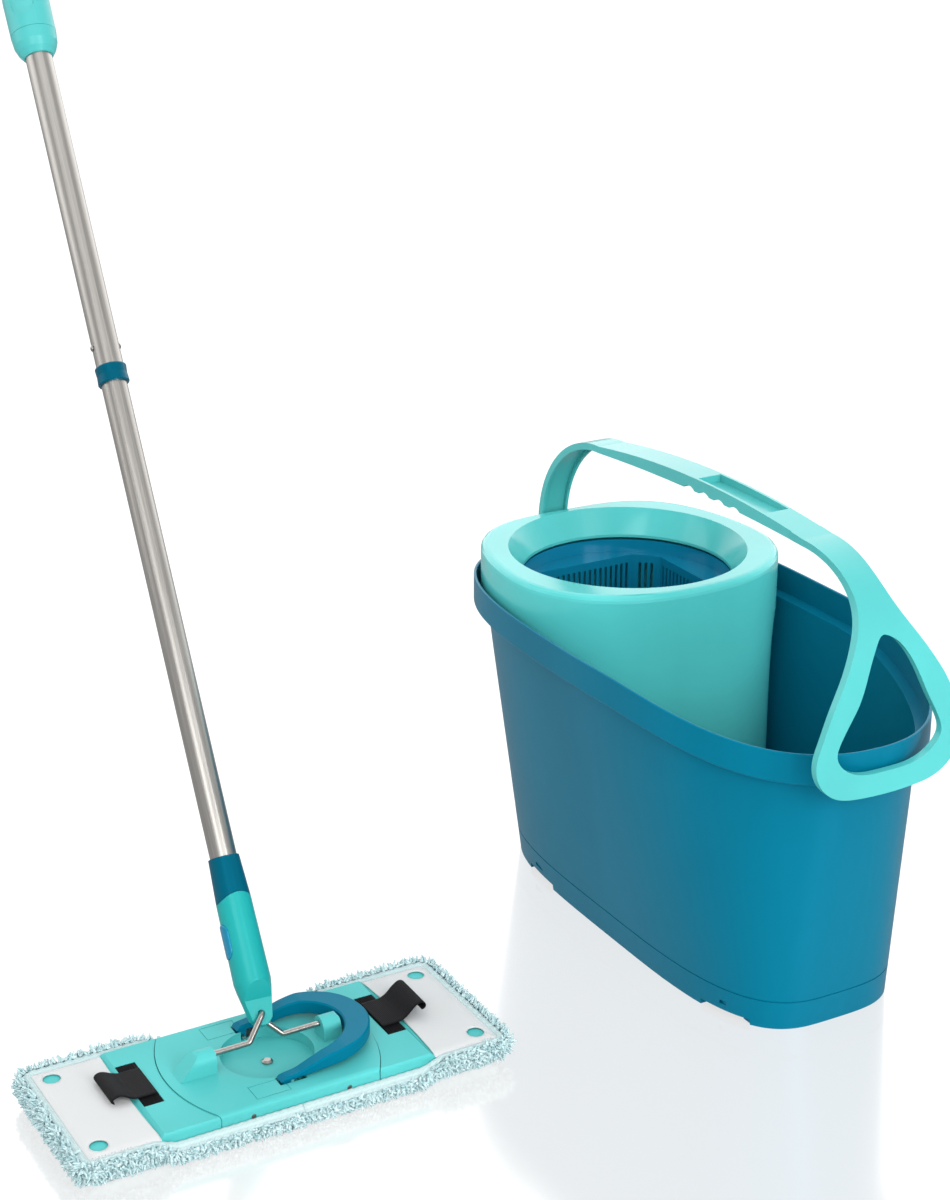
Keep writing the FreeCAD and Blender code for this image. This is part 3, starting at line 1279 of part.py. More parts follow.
def twisted_bar(width, thick, low, high, base):
    """A flat bar turned evenly about the pole's axis between two heights."""
    steps = max(1, round((high - low) / (mm("bar_lead") / 24)))
    wires = []
    for index in range(steps + 1):
        z = low + (high - low) * index / steps
        turn = math.radians(360 * (z - base) / mm("bar_lead"))
        c, s = math.cos(turn), math.sin(turn)
        corners = [(width / 2, thick / 2), (-width / 2, thick / 2),
                   (-width / 2, -thick / 2), (width / 2, -thick / 2)]
        spots = [Vector(x * c - y * s, x * s + y * c, z) for x, y in corners]
        wires.append(Part.makePolygon(spots + [spots[0]]))
    return Part.makeLoft(wires, True, True)


bar_w, bar_t = mm("bar_width"), mm("bar_thickness")
hub_low, base = float(hub_start), float(nut_place) + 0.3
hub_turn = 360 * (hub_low - base) / mm("bar_lead")
slot_step = mm("bar_lead") / 24
nut_slot = twisted_bar(bar_w + 0.7, bar_t + 0.7, base - slot_step, base + 4 * slot_step, base)
nut_body = cylinder("NutBody", nut_r, size("nut_length"), 0, 0, nut_low + 0.3)
in_pole("drive_nut", cut("DriveNut", nut_body, feature("NutSlot", nut_slot)))
bar = twisted_bar(bar_w, bar_t, base - slot_step, hub_low, base)
bar_end = Part.makeBox(bar_w, bar_t, 12, Vector(-bar_w / 2, -bar_t / 2, hub_low))
bar_end.rotate(Vector(0, 0, 0), Vector(0, 0, 1), hub_turn)
in_pole("twist_spindle", feature("TwistSpindle", bar.fuse(bar_end).removeSplitter()))
hub_r = upper_r - tube_t - 0.1
hub_form = turned("HubForm", [(0, hub_start), (hub_r, hub_start),
                              (hub_r, upper_tube_end - 0.2),
                              (0, upper_tube_end - 0.2)])
pocket = Part.makeBox(bar_w + 0.2, bar_t + 0.2, 22,
                      Vector(-bar_w / 2 - 0.1, -bar_t / 2 - 0.1, hub_low - 9.9))
pocket.rotate(Vector(0, 0, 0), Vector(0, 0, 1), hub_turn)
in_pole("spindle_hub", cut("SpindleHub", hub_form, feature("HubPocket", pocket)))

ring_low, ring_r = size("collar_start"), upper_r + 0.1
in_pole("lock_ring", turned("LockRing", [
    (tube_r + 0.15, ring_low), (ring_r + size("collar_wall") - 0.6, ring_low),
    (ring_r + size("collar_wall"), ring_low + 1),
    (ring_r + size("collar_wall") - 0.5, ring_low + size("collar_length") / 2),
    (ring_r + size("collar_wall"), ring_low + size("collar_length") - 1),
    (ring_r + size("collar_wall") - 0.6, ring_low + size("collar_length")),
    (ring_r, ring_low + size("collar_length")), (ring_r, ring_low + 1.6),
    (tube_r + 0.15, ring_low + 1.6)]))

grip_r, grip_low, seam = size("grip_radius"), size("grip_start"), grip_seam
in_pole("grip_collar", turned("GripCollar", [
    (ring_r, grip_low), (upper_r + 1.2, grip_low), (upper_r + 1.9, grip_low + 0.8),
    (grip_r * 0.83, grip_low + 5), (grip_r * 0.95, grip_low + 11), (grip_r, seam - 0.3),
    (ring_r, seam - 0.3)]))
grip_form = turned("GripForm", [
    (ring_r, seam), (grip_r, seam), (grip_r + 0.3, seam + 30), (grip_r - 0.6, seam + 70),
    (grip_r - 1.5, grip_end), (ring_r, grip_end)])


def inlay_prism(clearance, from_y, to_y):
    """The long oval of the grip's inset face."""
    low, high, half = float(grip_seam) + 12, float(grip_end) - 10, 10 + clearance
    depth = Vector(0, to_y - from_y, 0)
    edges = [
        Part.makeLine(Vector(-half, from_y, low + 10), Vector(-half, from_y, high - 10)),
        Part.Arc(Vector(-half, from_y, high - 10), Vector(0, from_y, high + clearance),
                 Vector(half, from_y, high - 10)).toShape(),
        Part.makeLine(Vector(half, from_y, high - 10), Vector(half, from_y, low + 10)),
        Part.Arc(Vector(half, from_y, low + 10), Vector(0, from_y, low - clearance),
                 Vector(-half, from_y, low + 10)).toShape(),
    ]
    return Part.Face(Part.Wire(edges)).extrude(depth)


inlay_turn = Rotation(Vector(0, 0, 1), 58)


def inlay_shape(clearance, from_y, to_y):
    prism = inlay_prism(clearance, from_y, to_y)
    prism.Placement = Placement(Vector(), inlay_turn)
    return prism


in_pole("grip_body", cut("GripBody", grip_form,
                         feature("InlayRecess", inlay_shape(0.15, -30, -16))))
inlay = inlay_shape(0, -30, -16.2).common(
    Part.makeCylinder(mm("grip_radius") - 0.5, 300, Vector(0, 0, float(grip_seam))))
in_pole("grip_inlay", feature("GripInlay", inlay))
cap_r = grip_r - 1.5
in_pole("grip_end_cap", turned("GripEndCap", [
    (0, grip_end + 0.3), (cap_r, grip_end + 0.3),
    (cap_r - 1, grip_end + 5), (cap_r * 0.72, grip_end + 9.5),
    (cap_r * 0.35, grip_end + 11.5), (0, grip_end + 12)]))


def export():
    document.recompute()
    os.makedirs("parts", exist_ok=True)
    for thing in finished:
        state = [word for word in thing.State if word in ("Invalid", "Error")]
        shape = thing.Shape
        if state or shape.isNull() or not shape.isValid():
            raise RuntimeError("sub-part %s is not sound: %s" % (thing.Label, thing.State))
        shape.exportStep("parts/%s.step" % thing.Label)
        print(thing.Label, len(shape.Solids), len(shape.Faces), shape.BoundBox)
    print("sub-parts", len(finished))


export()
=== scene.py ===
"""The finished look of the spin mop and its bucket: cover, cloth, straps, plastics, steel and studio."""

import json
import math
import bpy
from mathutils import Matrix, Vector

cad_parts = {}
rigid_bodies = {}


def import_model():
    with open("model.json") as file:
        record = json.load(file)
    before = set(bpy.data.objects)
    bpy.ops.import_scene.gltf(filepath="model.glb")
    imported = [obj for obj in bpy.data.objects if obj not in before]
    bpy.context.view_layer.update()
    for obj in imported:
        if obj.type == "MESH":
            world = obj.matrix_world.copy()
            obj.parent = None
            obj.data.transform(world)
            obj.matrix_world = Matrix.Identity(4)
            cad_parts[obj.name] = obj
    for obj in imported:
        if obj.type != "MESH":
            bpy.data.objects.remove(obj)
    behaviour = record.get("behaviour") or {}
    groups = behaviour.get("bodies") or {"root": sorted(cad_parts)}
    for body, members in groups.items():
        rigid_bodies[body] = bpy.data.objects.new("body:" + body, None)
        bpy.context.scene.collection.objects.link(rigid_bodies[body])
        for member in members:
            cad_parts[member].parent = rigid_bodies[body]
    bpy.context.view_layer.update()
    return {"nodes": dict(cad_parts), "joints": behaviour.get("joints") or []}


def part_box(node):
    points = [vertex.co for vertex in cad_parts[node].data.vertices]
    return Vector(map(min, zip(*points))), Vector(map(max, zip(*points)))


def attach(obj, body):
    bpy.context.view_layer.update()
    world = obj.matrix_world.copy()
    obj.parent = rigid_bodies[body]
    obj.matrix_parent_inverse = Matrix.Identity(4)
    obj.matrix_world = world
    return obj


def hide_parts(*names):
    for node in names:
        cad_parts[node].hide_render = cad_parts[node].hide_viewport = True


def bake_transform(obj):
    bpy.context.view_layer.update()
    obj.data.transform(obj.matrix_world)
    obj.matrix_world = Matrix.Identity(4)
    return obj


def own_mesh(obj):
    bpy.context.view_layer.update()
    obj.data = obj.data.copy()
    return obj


bl_info = {
    "name": "Spin mop dressing",
    "version": (1, 0, 0),
    "blender": (4, 5, 0),
    "location": "View3D > Sidebar > Spin mop",
    "description": "Dresses the spin mop's frame with its mop cover, straps, moulding marks and finishes",
    "category": "Object",
}

import bmesh
import bpy
from bpy.props import FloatProperty, FloatVectorProperty, IntProperty, PointerProperty
from mathutils import Matrix, Vector, noise

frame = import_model()
SIDES = (("left", -1), ("right", 1))
MM = 0.001
WHITE = (1, 1, 1, 1)


def node(name):
    return frame["nodes"][name]


def joint(name):
    """A joint's record, by its name."""
    return next(entry for entry in frame["joints"] if entry["name"] == name)


# The mop plate, read off the frame: its middle, half sizes, folds and the pole's line.
WING_LOW, WING_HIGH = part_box("wing_left")
FAR_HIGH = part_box("wing_right")[1]
PLATE_X = (WING_LOW[0] + WING_HIGH[0]) / 2
PLATE_Y = (WING_LOW[1] + FAR_HIGH[1]) / 2
HALF_WIDTH = (WING_HIGH[0] - WING_LOW[0]) / 2
HALF_LENGTH = (FAR_HIGH[1] - WING_LOW[1]) / 2
FOLD = abs(joint("wing_left_fold")["pos_m"][1] - PLATE_Y)
POLE_EYE = Vector(joint("pole_swing")["pos_m"])
POLE = -Vector(joint("pump_slide")["axis"]).normalized()


def pocket_start(side):
    """How far from the plate's middle a pocket begins."""
    return min(abs(corner[1] - PLATE_Y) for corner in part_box("pocket_" + side))


POCKET_START = pocket_start("left")


# ---- settings


def metres(name, default, description, low=0.0, high=1.0):
    return FloatProperty(name=name, default=default, min=low, max=high, unit="LENGTH",
                         subtype="DISTANCE", precision=4, description=description)


def number(name, default, high, description, low=0.0, unit="NONE"):
    return FloatProperty(name=name, default=default, min=low, max=high, unit=unit,
                         description=description)


def share(name, default, description, high=1.0):
    return FloatProperty(name=name, default=default, min=0.0, max=high, subtype="FACTOR",
                         description=description)


def colour(name, default, description):
    return FloatVectorProperty(name=name, default=default, size=3, min=0.0, max=1.0,
                               subtype="COLOR", description=description)


class SPINMOP_PG_colours(bpy.types.PropertyGroup):
    petrol: colour("Petrol", (0.0005, 0.145, 0.235), "Bucket, pedal and bail pins")
    connector: colour("Connector", (0.0005, 0.080, 0.130), "Tube connector and lock ring")
    basket: colour("Basket", (0.004, 0.200, 0.340), "Spin basket and release button")
    spinner: colour("Spinner", (0.085, 0.550, 0.540), "Spinner housing and its funnel")
    mint: colour("Mint", (0.075, 0.460, 0.455), "Mop plate and grip")
    socket: colour("Socket", (0.012, 0.310, 0.305), "Lower socket of the pole")
    pale_mint: colour("Pale mint", (0.075, 0.465, 0.460), "Bail")
    cloth: colour("Cloth", (0.62, 0.635, 0.64), "Cover pockets")
    pile: colour("Pile", (0.34, 0.55, 0.58), "Roots of the mop cover's pile")
    tips: colour("Pile tips", (0.62, 0.79, 0.81), "Tips of the mop cover's pile")
    knit: colour("Knitted border", (0.50, 0.65, 0.66), "Border round the plate")
    strap: colour("Strap", (0.0040, 0.0040, 0.0048), "Pull tabs and hook patches")
    steel: colour("Steel", (0.56, 0.54, 0.51), "Pole tubes")
    wire: colour("Wire", (0.40, 0.38, 0.36), "Wire yoke, pins and screw")
    acetal: colour("Acetal", (0.72, 0.72, 0.69), "Bushes and drive nut")


class SPINMOP_PG_cover(bpy.types.PropertyGroup):
    tuft_length: metres("Tuft length", 0.0050, "Length of one tuft of the pile", 0.001, 0.03)
    tuft_radius: metres("Tuft radius", 0.00135, "Thickness of one tuft at its root", 0.0003, 0.01)
    tufts_per_area: number("Tufts per square metre", 230000.0, 600000.0,
                           "How closely the tufts stand", 1000.0)
    stitch: metres("Border stitch", 0.0021, "Length of one stitch of the border", 0.0005, 0.01)
    ripple: metres("Border ripple", 0.00030, "How far each stitch stands out", 0.0, 0.002)
    lumps: metres("Lumps", 0.0022, "How unevenly the pile bulges", 0.0, 0.01)
    seed: IntProperty(name="Seed", default=7, min=0, description="Which scatter of tufts is made")


class SPINMOP_PG_cloth(bpy.types.PropertyGroup):
    thickness: metres("Cloth thickness", 0.0009, "Thickness of the pocket's cloth", 0.0002, 0.003)
    hole: metres("Corner hole", 0.0068, "Radius of each corner hole", 0.001, 0.02)
    droop: metres("Droop", 0.0016, "How far the cloth's borders fall", 0.0, 0.01)
    strap_thickness: metres("Strap thickness", 0.0013, "Thickness of a pull tab", 0.0003, 0.004)
    hook_pitch: metres("Hook pitch", 0.0019, "Distance between the hooks of a patch", 0.001, 0.01)


class SPINMOP_PG_studio(bpy.types.PropertyGroup):
    floor_size: metres("Floor size", 60.0, "Width of the floor", 1.0, 200.0)
    mirror: share("Floor sheen", 0.75, "How much of the object the floor mirrors")
    overhead: number("Overhead lamp", 12.5, 1000.0, "Power of the large lamp above", unit="POWER")
    side: number("Side lamp", 44.0, 1000.0, "Power of the lamp beyond the pouring end",
                 unit="POWER")
    left: number("Left lamp", 8.0, 1000.0, "Power of the lamp behind the mop", unit="POWER")
    front: number("Front lamp", 26.0, 1000.0, "Power of the lamp above the camera", unit="POWER")
    mirrored: share("Mirrored floor", 0.4, "How bright the floor is in the object's own sheen")
    cove: number("Cove", 1.9, 10.0, "Brightness of the backdrop in the object's own sheen")
    surround: share("Surround", 0.85, "Strength of the even light from all sides", 2.0)


class SPINMOP_PG_settings(bpy.types.PropertyGroup):
    colours: PointerProperty(type=SPINMOP_PG_colours)
    cover: PointerProperty(type=SPINMOP_PG_cover)
    cloth: PointerProperty(type=SPINMOP_PG_cloth)
    studio: PointerProperty(type=SPINMOP_PG_studio)


# ---- shader wiring


def add_node(tree, kind, settings, inputs):
    """A node of a kind, with its settings made first, then its values and links."""
    made = tree.nodes.new(kind)
    for key, value in (settings or {}).items():
        setattr(made, key, value)
    for key, value in (inputs or {}).items():
        value = getattr(value, "socket", value)
        if isinstance(value, bpy.types.NodeSocket):
            tree.links.new(value, made.inputs[key])
        else:
            made.inputs[key].default_value = value
    return made


class Wire:
    """A socket of a node tree. Arithmetic on it adds the Math nodes."""

    def __init__(self, graph, socket):
        self.graph, self.socket = graph, socket

    def math(self, operation, *values):
        return self.graph.add("ShaderNodeMath", {"operation": operation},
                              dict(enumerate(values)))

    def __add__(self, other):
        return self.math("ADD", self, other)

    def __sub__(self, other):
        return self.math("SUBTRACT", self, other)

    def __mul__(self, other):
        return self.math("MULTIPLY", self, other)

    __radd__, __rmul__ = __add__, __mul__

    def sine(self):
        return self.math("SINE", self)

    def size(self):
        return self.math("ABSOLUTE", self)

    def step(self, low, high):
        """0 below low, 1 above high, and smooth between."""
        return self.graph.add("ShaderNodeMapRange", {"interpolation_type": "SMOOTHSTEP"},
                              {0: self, 1: low, 2: high, 3: 0.0, 4: 1.0})


class Graph:
    """The shader nodes of a material or of the world."""

    def __init__(self, owner, end="ShaderNodeOutputMaterial"):
        owner.use_nodes = True
        self.owner, self.tree = owner, owner.node_tree
        self.tree.nodes.clear()
        self.end = self.tree.nodes.new(end)

    def add(self, kind, settings=None, inputs=None, output=0):
        return Wire(self, add_node(self.tree, kind, settings, inputs).outputs[output])

    def glow(self, kind, strength):
        """White light of a strength."""
        return self.add(kind, None, {"Color": WHITE, "Strength": strength})

    def either(self, factor, first, second):
        """The first shader where the factor is 0, and the second where it is 1."""
        return self.add("ShaderNodeMixShader", None, {0: factor, 1: first, 2: second})

    def rays(self):
        """1 for the camera's own rays, and 1 for mirrored ones."""
        path = self.add("ShaderNodeLightPath").socket.node.outputs
        return Wire(self, path["Is Camera Ray"]), Wire(self, path["Is Glossy Ray"])

    def finish(self, shader):
        self.tree.links.new(shader.socket, self.end.inputs["Surface"])
        return self.owner

    def place(self, scale=(1, 1, 1), rotation=(0, 0, 0), location=(0, 0, 0), start=None):
        """Object coordinates, stretched or turned."""
        if start is None:
            start = self.add("ShaderNodeTexCoord", output="Object")
        return self.add("ShaderNodeMapping", None, {
            "Vector": start, "Scale": scale, "Rotation": rotation, "Location": location})

    def uv(self):
        return self.add("ShaderNodeTexCoord", output="UV")

    def split(self, vector):
        made = self.add("ShaderNodeSeparateXYZ", None, {0: vector})
        return [Wire(self, output) for output in made.socket.node.outputs]

    def grain(self, scale, detail=2.0, roughness=0.5):
        """Noise fixed to the piece."""
        return self.noise(self.place(), scale, detail, roughness)

    def noise(self, vector, scale, detail=2.0, roughness=0.5):
        return self.add("ShaderNodeTexNoise", None, {
            "Vector": vector, "Scale": scale, "Detail": detail, "Roughness": roughness})

    def blend(self, factor, first, second):
        """A mix of two colours."""
        return self.add("ShaderNodeMix", {"data_type": "RGBA"},
                        {0: factor, 6: first, 7: second}, output=2)

    def bump(self, height, strength, distance, normal=None):
        inputs = {"Height": height, "Strength": strength, "Distance": distance}
        if normal is not None:
            inputs["Normal"] = normal
        return self.add("ShaderNodeBump", None, inputs)

    def surface(self, **values):
        """The Principled shader; underscores in the names stand for spaces."""
        inputs = {key.replace("_", " "): value for key, value in values.items()}
        return self.finish(self.add("ShaderNodeBsdfPrincipled", None, inputs))


def new_finish(name):
    """The empty graph of a new material."""
    return Graph(bpy.data.materials.new(name))


def opaque(tone, level=1.0):
    return (tone[0] * level, tone[1] * level, tone[2] * level, 1.0)


# ---- finishes


def moulded(name, tone, roughness, coat, peel, shine=0.5, tinted=0.0):
    """Injection-moulded plastic: flow shading, a fine orange peel and faint handling haze."""
    g = new_finish(name)
    flow = g.noise(g.place(scale=(1.0, 1.0, 0.45)), 7.0, 3.0, 0.55)
    shade = g.blend(flow.step(0.3, 0.7), opaque(tone, 0.93), opaque(tone, 1.06))
    haze = g.grain(38.0, 5.0, 0.65)
    scuffs = g.noise(g.place(scale=(1.0, 1.0, 9.0)), 60.0, 4.0, 0.7).step(0.62, 0.78)
    rough = roughness + 0.05 * (haze - 0.5) + 0.02 * scuffs
    skin = g.grain(900.0, 2.0, 0.4)
    waves = g.grain(55.0, 1.0, 0.3)
    normal = g.bump(waves, peel * 2.5, 0.0009, g.bump(skin, peel, 0.0003))
    peak = max(tone)
    tint = [1 - tinted * (1 - value / peak) for value in tone] + [1.0]
    return g.surface(Base_Color=shade, Roughness=rough, IOR=1.49, Coat_Weight=coat,
                     Coat_Roughness=0.12, Specular_IOR_Level=shine, Specular_Tint=tint,
                     Normal=normal)


def along_pole():
    """Rotation and shift that bring the pole onto the Z axis."""
    turn = POLE.rotation_difference(Vector((0, 0, 1))).to_matrix()
    return turn.to_euler("XYZ"), -(turn @ POLE_EYE)


def drawn_steel(name, tone, roughness, pole=False, streak=0.16):
    """Drawn and lightly brushed steel, with fine streaks that run along the piece."""
    g = new_finish(name)
    start = None
    if pole:
        turn, shift = along_pole()
        start = g.place(rotation=tuple(turn), location=tuple(shift))
    fine = g.noise(g.place(scale=(1.0, 1.0, 0.012), start=start), 900.0, 3.0, 0.6)
    broad = g.noise(g.place(scale=(1.0, 1.0, 0.05), start=start), 120.0, 2.0, 0.5)
    cloud = g.noise(g.place(start=start), 14.0, 3.0, 0.5)
    shade = g.blend(fine.step(0.25, 0.75), opaque(tone, 1 - streak), opaque(tone, 1 + streak / 2))
    shade = g.blend(0.35 * cloud, shade, opaque(tone, 0.8))
    rough = roughness + 0.16 * (fine - 0.5) + 0.08 * (broad - 0.5)
    normal = g.bump(fine, 0.10, 0.0002)
    return g.surface(Base_Color=shade, Metallic=1.0, Roughness=rough, Normal=normal)


def soft_touch(name, tone):
    """Soft-touch rubber with a pebbled skin."""
    g = new_finish(name)
    grain = g.add("ShaderNodeTexVoronoi", {"feature": "SMOOTH_F1"},
                  {"Vector": g.place(), "Scale": 1400.0})
    shade = g.blend(g.grain(25.0, 3.0), opaque(tone, 0.9), opaque(tone, 1.08))
    return g.surface(Base_Color=shade, Roughness=0.62 + 0.1 * grain,
                     Normal=g.bump(grain, 0.25, 0.0003))


def plain_cloth(name, tone):
    """Tight plain-woven cloth, slightly creased."""
    g = new_finish(name)
    x, y, _ = g.split(g.place())
    pitch = 2 * math.pi / 0.00085
    warp, weft = (x * pitch).sine(), (y * pitch).sine()
    weave = 0.5 + 0.5 * (warp * weft)
    fuzz = g.grain(1500.0, 3.0, 0.7)
    dark_blotches = g.grain(22.0, 3.0, 0.55)
    # Painted shade: the cloth is a little darker where the weave's bump sinks and lighter where it rises.
    shade = g.blend(weave, opaque(tone, 0.90), opaque(tone, 1.03))
    # Darker in broad random blotches.
    shade = g.blend(0.22 * dark_blotches, shade, opaque(tone, 0.86))
    height = 0.6 * weave + 0.4 * fuzz
    return g.surface(Base_Color=shade, Roughness=0.86 + 0.1 * (fuzz - 0.5), Sheen_Weight=0.25,
                     Sheen_Roughness=0.5, Normal=g.bump(height, 0.35, 0.0003))


def chenille(name, root, tip):
    """Fluffy microfibre yarn, paler towards its tips."""
    g = new_finish(name)
    fibres = g.grain(2600.0, 3.0, 0.75)
    clump = g.grain(210.0, 3.0, 0.6)
    drift = g.grain(28.0, 2.0, 0.5)
    shade = g.blend(clump.step(0.36, 0.62), opaque(root), opaque(tip))
    shade = g.blend(0.45 * drift, shade, opaque(tip, 0.96))
    return g.surface(Base_Color=shade, Roughness=0.92 + 0.06 * (fibres - 0.5), Sheen_Weight=0.15,
                     Sheen_Roughness=0.6, Normal=g.bump(fibres, 0.55, 0.0006))


def ribbed_strap(name, tone):
    """Woven strap: ribs across its width and a twill that runs over them."""
    g = new_finish(name)
    across, along, _ = g.split(g.uv())
    ribs = (along * (2 * math.pi * 26)).sine()
    twill = ((along * 46 + across * 30) * (2 * math.pi)).sine()
    threads = (across * (2 * math.pi * 48)).sine()
    height = 0.45 * ribs + 0.35 * twill + 0.2 * threads
    lint = g.grain(1800.0, 3.0, 0.7)
    # Painted sheen and shade: the strap is lighter on the ribs' crests and darker in their grooves,
    # following the bump's height; lint adds a fine random tone.
    shade = g.blend((0.5 + 0.5 * height) * 0.8 + 0.2 * lint, opaque(tone, 0.55), opaque(tone, 2.6))
    return g.surface(Base_Color=shade, Roughness=0.68 + 0.12 * (lint - 0.5),
                     Specular_IOR_Level=0.15, Normal=g.bump(height, 0.5, 0.0004))


def hook_strip(name, tone):
    """The napped base of a hook strip."""
    g = new_finish(name)
    nap = g.grain(1100.0, 4.0, 0.75)
    x, y, _ = g.split(g.place())
    rows = ((x + y) * (2 * math.pi / 0.0021)).sine()
    # Painted sheen and shade: the base is lighter where the nap's bump rises and darker where it sinks;
    # the diagonal rows add a lighter tone.
    shade = g.blend(nap * 0.7 + 0.15 * rows, opaque(tone, 0.5), opaque(tone, 3.2))
    return g.surface(Base_Color=shade, Roughness=0.8 + 0.1 * (nap - 0.5),
                     Specular_IOR_Level=0.1, Normal=g.bump(nap, 0.6, 0.0004))


def knitted(name, tone):
    """Knitted border of the cover: short loops side by side."""
    g = new_finish(name)
    across, along, _ = g.split(g.uv())
    loops = (along * (2 * math.pi)).sine().size()
    courses = (across * (2 * math.pi * 3)).sine().size()
    fuzz = g.grain(1700.0, 3.0, 0.7)
    height = 0.5 * loops + 0.3 * courses + 0.2 * fuzz
    # Painted shade and highlight: the border is darker between the loops and lighter on their tops,
    # following the bump's height.
    shade = g.blend(height, opaque(tone, 0.72), opaque(tone, 1.08))
    return g.surface(Base_Color=shade, Roughness=0.9 + 0.05 * (fuzz - 0.5), Sheen_Weight=0.2,
                     Normal=g.bump(height, 0.6, 0.0006))


# ---- mesh helpers


def link_object(name, data):
    made = bpy.data.objects.new(name, data)
    bpy.context.scene.collection.objects.link(made)
    return made


def new_piece(name, points, faces, material, smooth=True, uvs=None):
    """A mesh object at the origin, with its place in its points."""
    mesh = bpy.data.meshes.new(name)
    mesh.from_pydata([tuple(p) for p in points], [], faces)
    if uvs is not None:
        layer = mesh.uv_layers.new(name="UVMap")
        for loop in mesh.loops:
            layer.data[loop.index].uv = uvs[loop.vertex_index]
    mesh.validate()
    if smooth:
        mesh.shade_smooth()
    if material:
        mesh.materials.append(material)
    return link_object(name, mesh)


def face_outwards(thing, merge=True):
    """Turns a closed piece's faces outwards."""
    work = bmesh.new()
    work.from_mesh(thing.data)
    if merge:
        bmesh.ops.remove_doubles(work, verts=work.verts, dist=1e-6)
    bmesh.ops.recalc_face_normals(work, faces=work.faces)
    work.to_mesh(thing.data)
    work.free()
    return thing


def apply_modifiers(thing):
    """Replaces a piece's mesh with its finished one and removes the modifiers."""
    graph = bpy.context.evaluated_depsgraph_get()
    finished = bpy.data.meshes.new_from_object(thing.evaluated_get(graph))
    old = thing.data
    thing.modifiers.clear()
    thing.data = finished
    bpy.data.meshes.remove(old)
    return thing


def grid_faces(rows, columns, closed_columns=False):
    """The quads of a grid of points that runs row by row."""
    faces = []
    for row in range(rows - 1):
        for column in range(columns if closed_columns else columns - 1):
            after = (column + 1) % columns
            a, d = row * columns, (row + 1) * columns
            faces.append((a + column, a + after, d + after, d + column))
    return faces


def round_corner_loop(half_x, half_y, radius, pitch):
    """Points and outward directions round a rectangle with round corners, with run lengths."""
    spots = []
    corners = ((1, 1, 0), (-1, 1, 90), (-1, -1, 180), (1, -1, 270))
    for index, (sx, sy, start) in enumerate(corners):
        middle = Vector((sx * (half_x - radius), sy * (half_y - radius)))
        count = max(9, int(radius * math.pi / 2 / pitch))
        for step in range(count + 1):
            angle = math.radians(start + 90 * step / count)
            way = Vector((math.cos(angle), math.sin(angle)))
            spots.append((middle + way * radius, way))
        nx, ny, _ = corners[(index + 1) % 4]
        length = 2 * ((half_x if sx != nx else half_y) - radius)
        run = Vector((nx - sx, ny - sy)).normalized()
        last, way = spots[-1]
        count = 2 * max(1, int(length / pitch / 2))
        for step in range(1, count):
            spots.append((last + run * (length * step / count), way))
    return spots


def take_place(thing, body=None, stands_for=()):
    """Gives a piece its body and hides the nodes that it replaces."""
    if body:
        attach(thing, body)
    if stands_for:
        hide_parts(*stands_for)
    return thing


# ---- geometry nodes


class Tree:
    """A geometry node tree with named inputs."""

    def __init__(self, name):
        self.tree = bpy.data.node_groups.new(name, "GeometryNodeTree")
        for way in ("INPUT", "OUTPUT"):
            self.tree.interface.new_socket("Geometry", in_out=way,
                                           socket_type="NodeSocketGeometry")
        self.enter = self.tree.nodes.new("NodeGroupInput")
        self.leave = self.tree.nodes.new("NodeGroupOutput")
        self.names = {}

    def ask(self, name, kind="NodeSocketFloat"):
        """A named input of the tree."""
        made = self.tree.interface.new_socket(name, in_out="INPUT", socket_type=kind)
        self.names[name] = made.identifier
        return self.enter.outputs[name]

    def add(self, kind, settings=None, inputs=None, output=0):
        return add_node(self.tree, kind, settings, inputs).outputs[output]

    def maths(self, operation, first, second):
        return self.add("ShaderNodeMath", {"operation": operation}, {0: first, 1: second})

    def attribute(self, name, kind):
        return self.add("GeometryNodeInputNamedAttribute", {"data_type": kind}, {"Name": name})

    def chance(self, low, high, seed=0):
        return self.add("FunctionNodeRandomValue", {"data_type": "FLOAT"},
                        {2: low, 3: high, "Seed": seed}, output=1)

    def aim(self, axis, inputs, pivot="AUTO"):
        """The rotation that turns an axis to a vector, from a rotation where one is given."""
        return self.add("FunctionNodeAlignRotationToVector", {"axis": axis, "pivot_axis": pivot},
                        inputs)

    def close(self, geometry, material):
        """Ends the tree in real geometry with its material."""
        real = self.add("GeometryNodeRealizeInstances", None, {0: geometry})
        done = self.add("GeometryNodeSetMaterial", None, {"Geometry": real, "Material": material})
        self.tree.links.new(done, self.leave.inputs[0])

    def run(self, thing, **values):
        """Runs the tree on a piece and keeps the plain mesh."""
        modifier = thing.modifiers.new("Pattern", "NODES")
        modifier.node_group = self.tree
        for name, value in values.items():
            modifier[self.names[name.replace("_", " ")]] = value
        return apply_modifiers(thing)


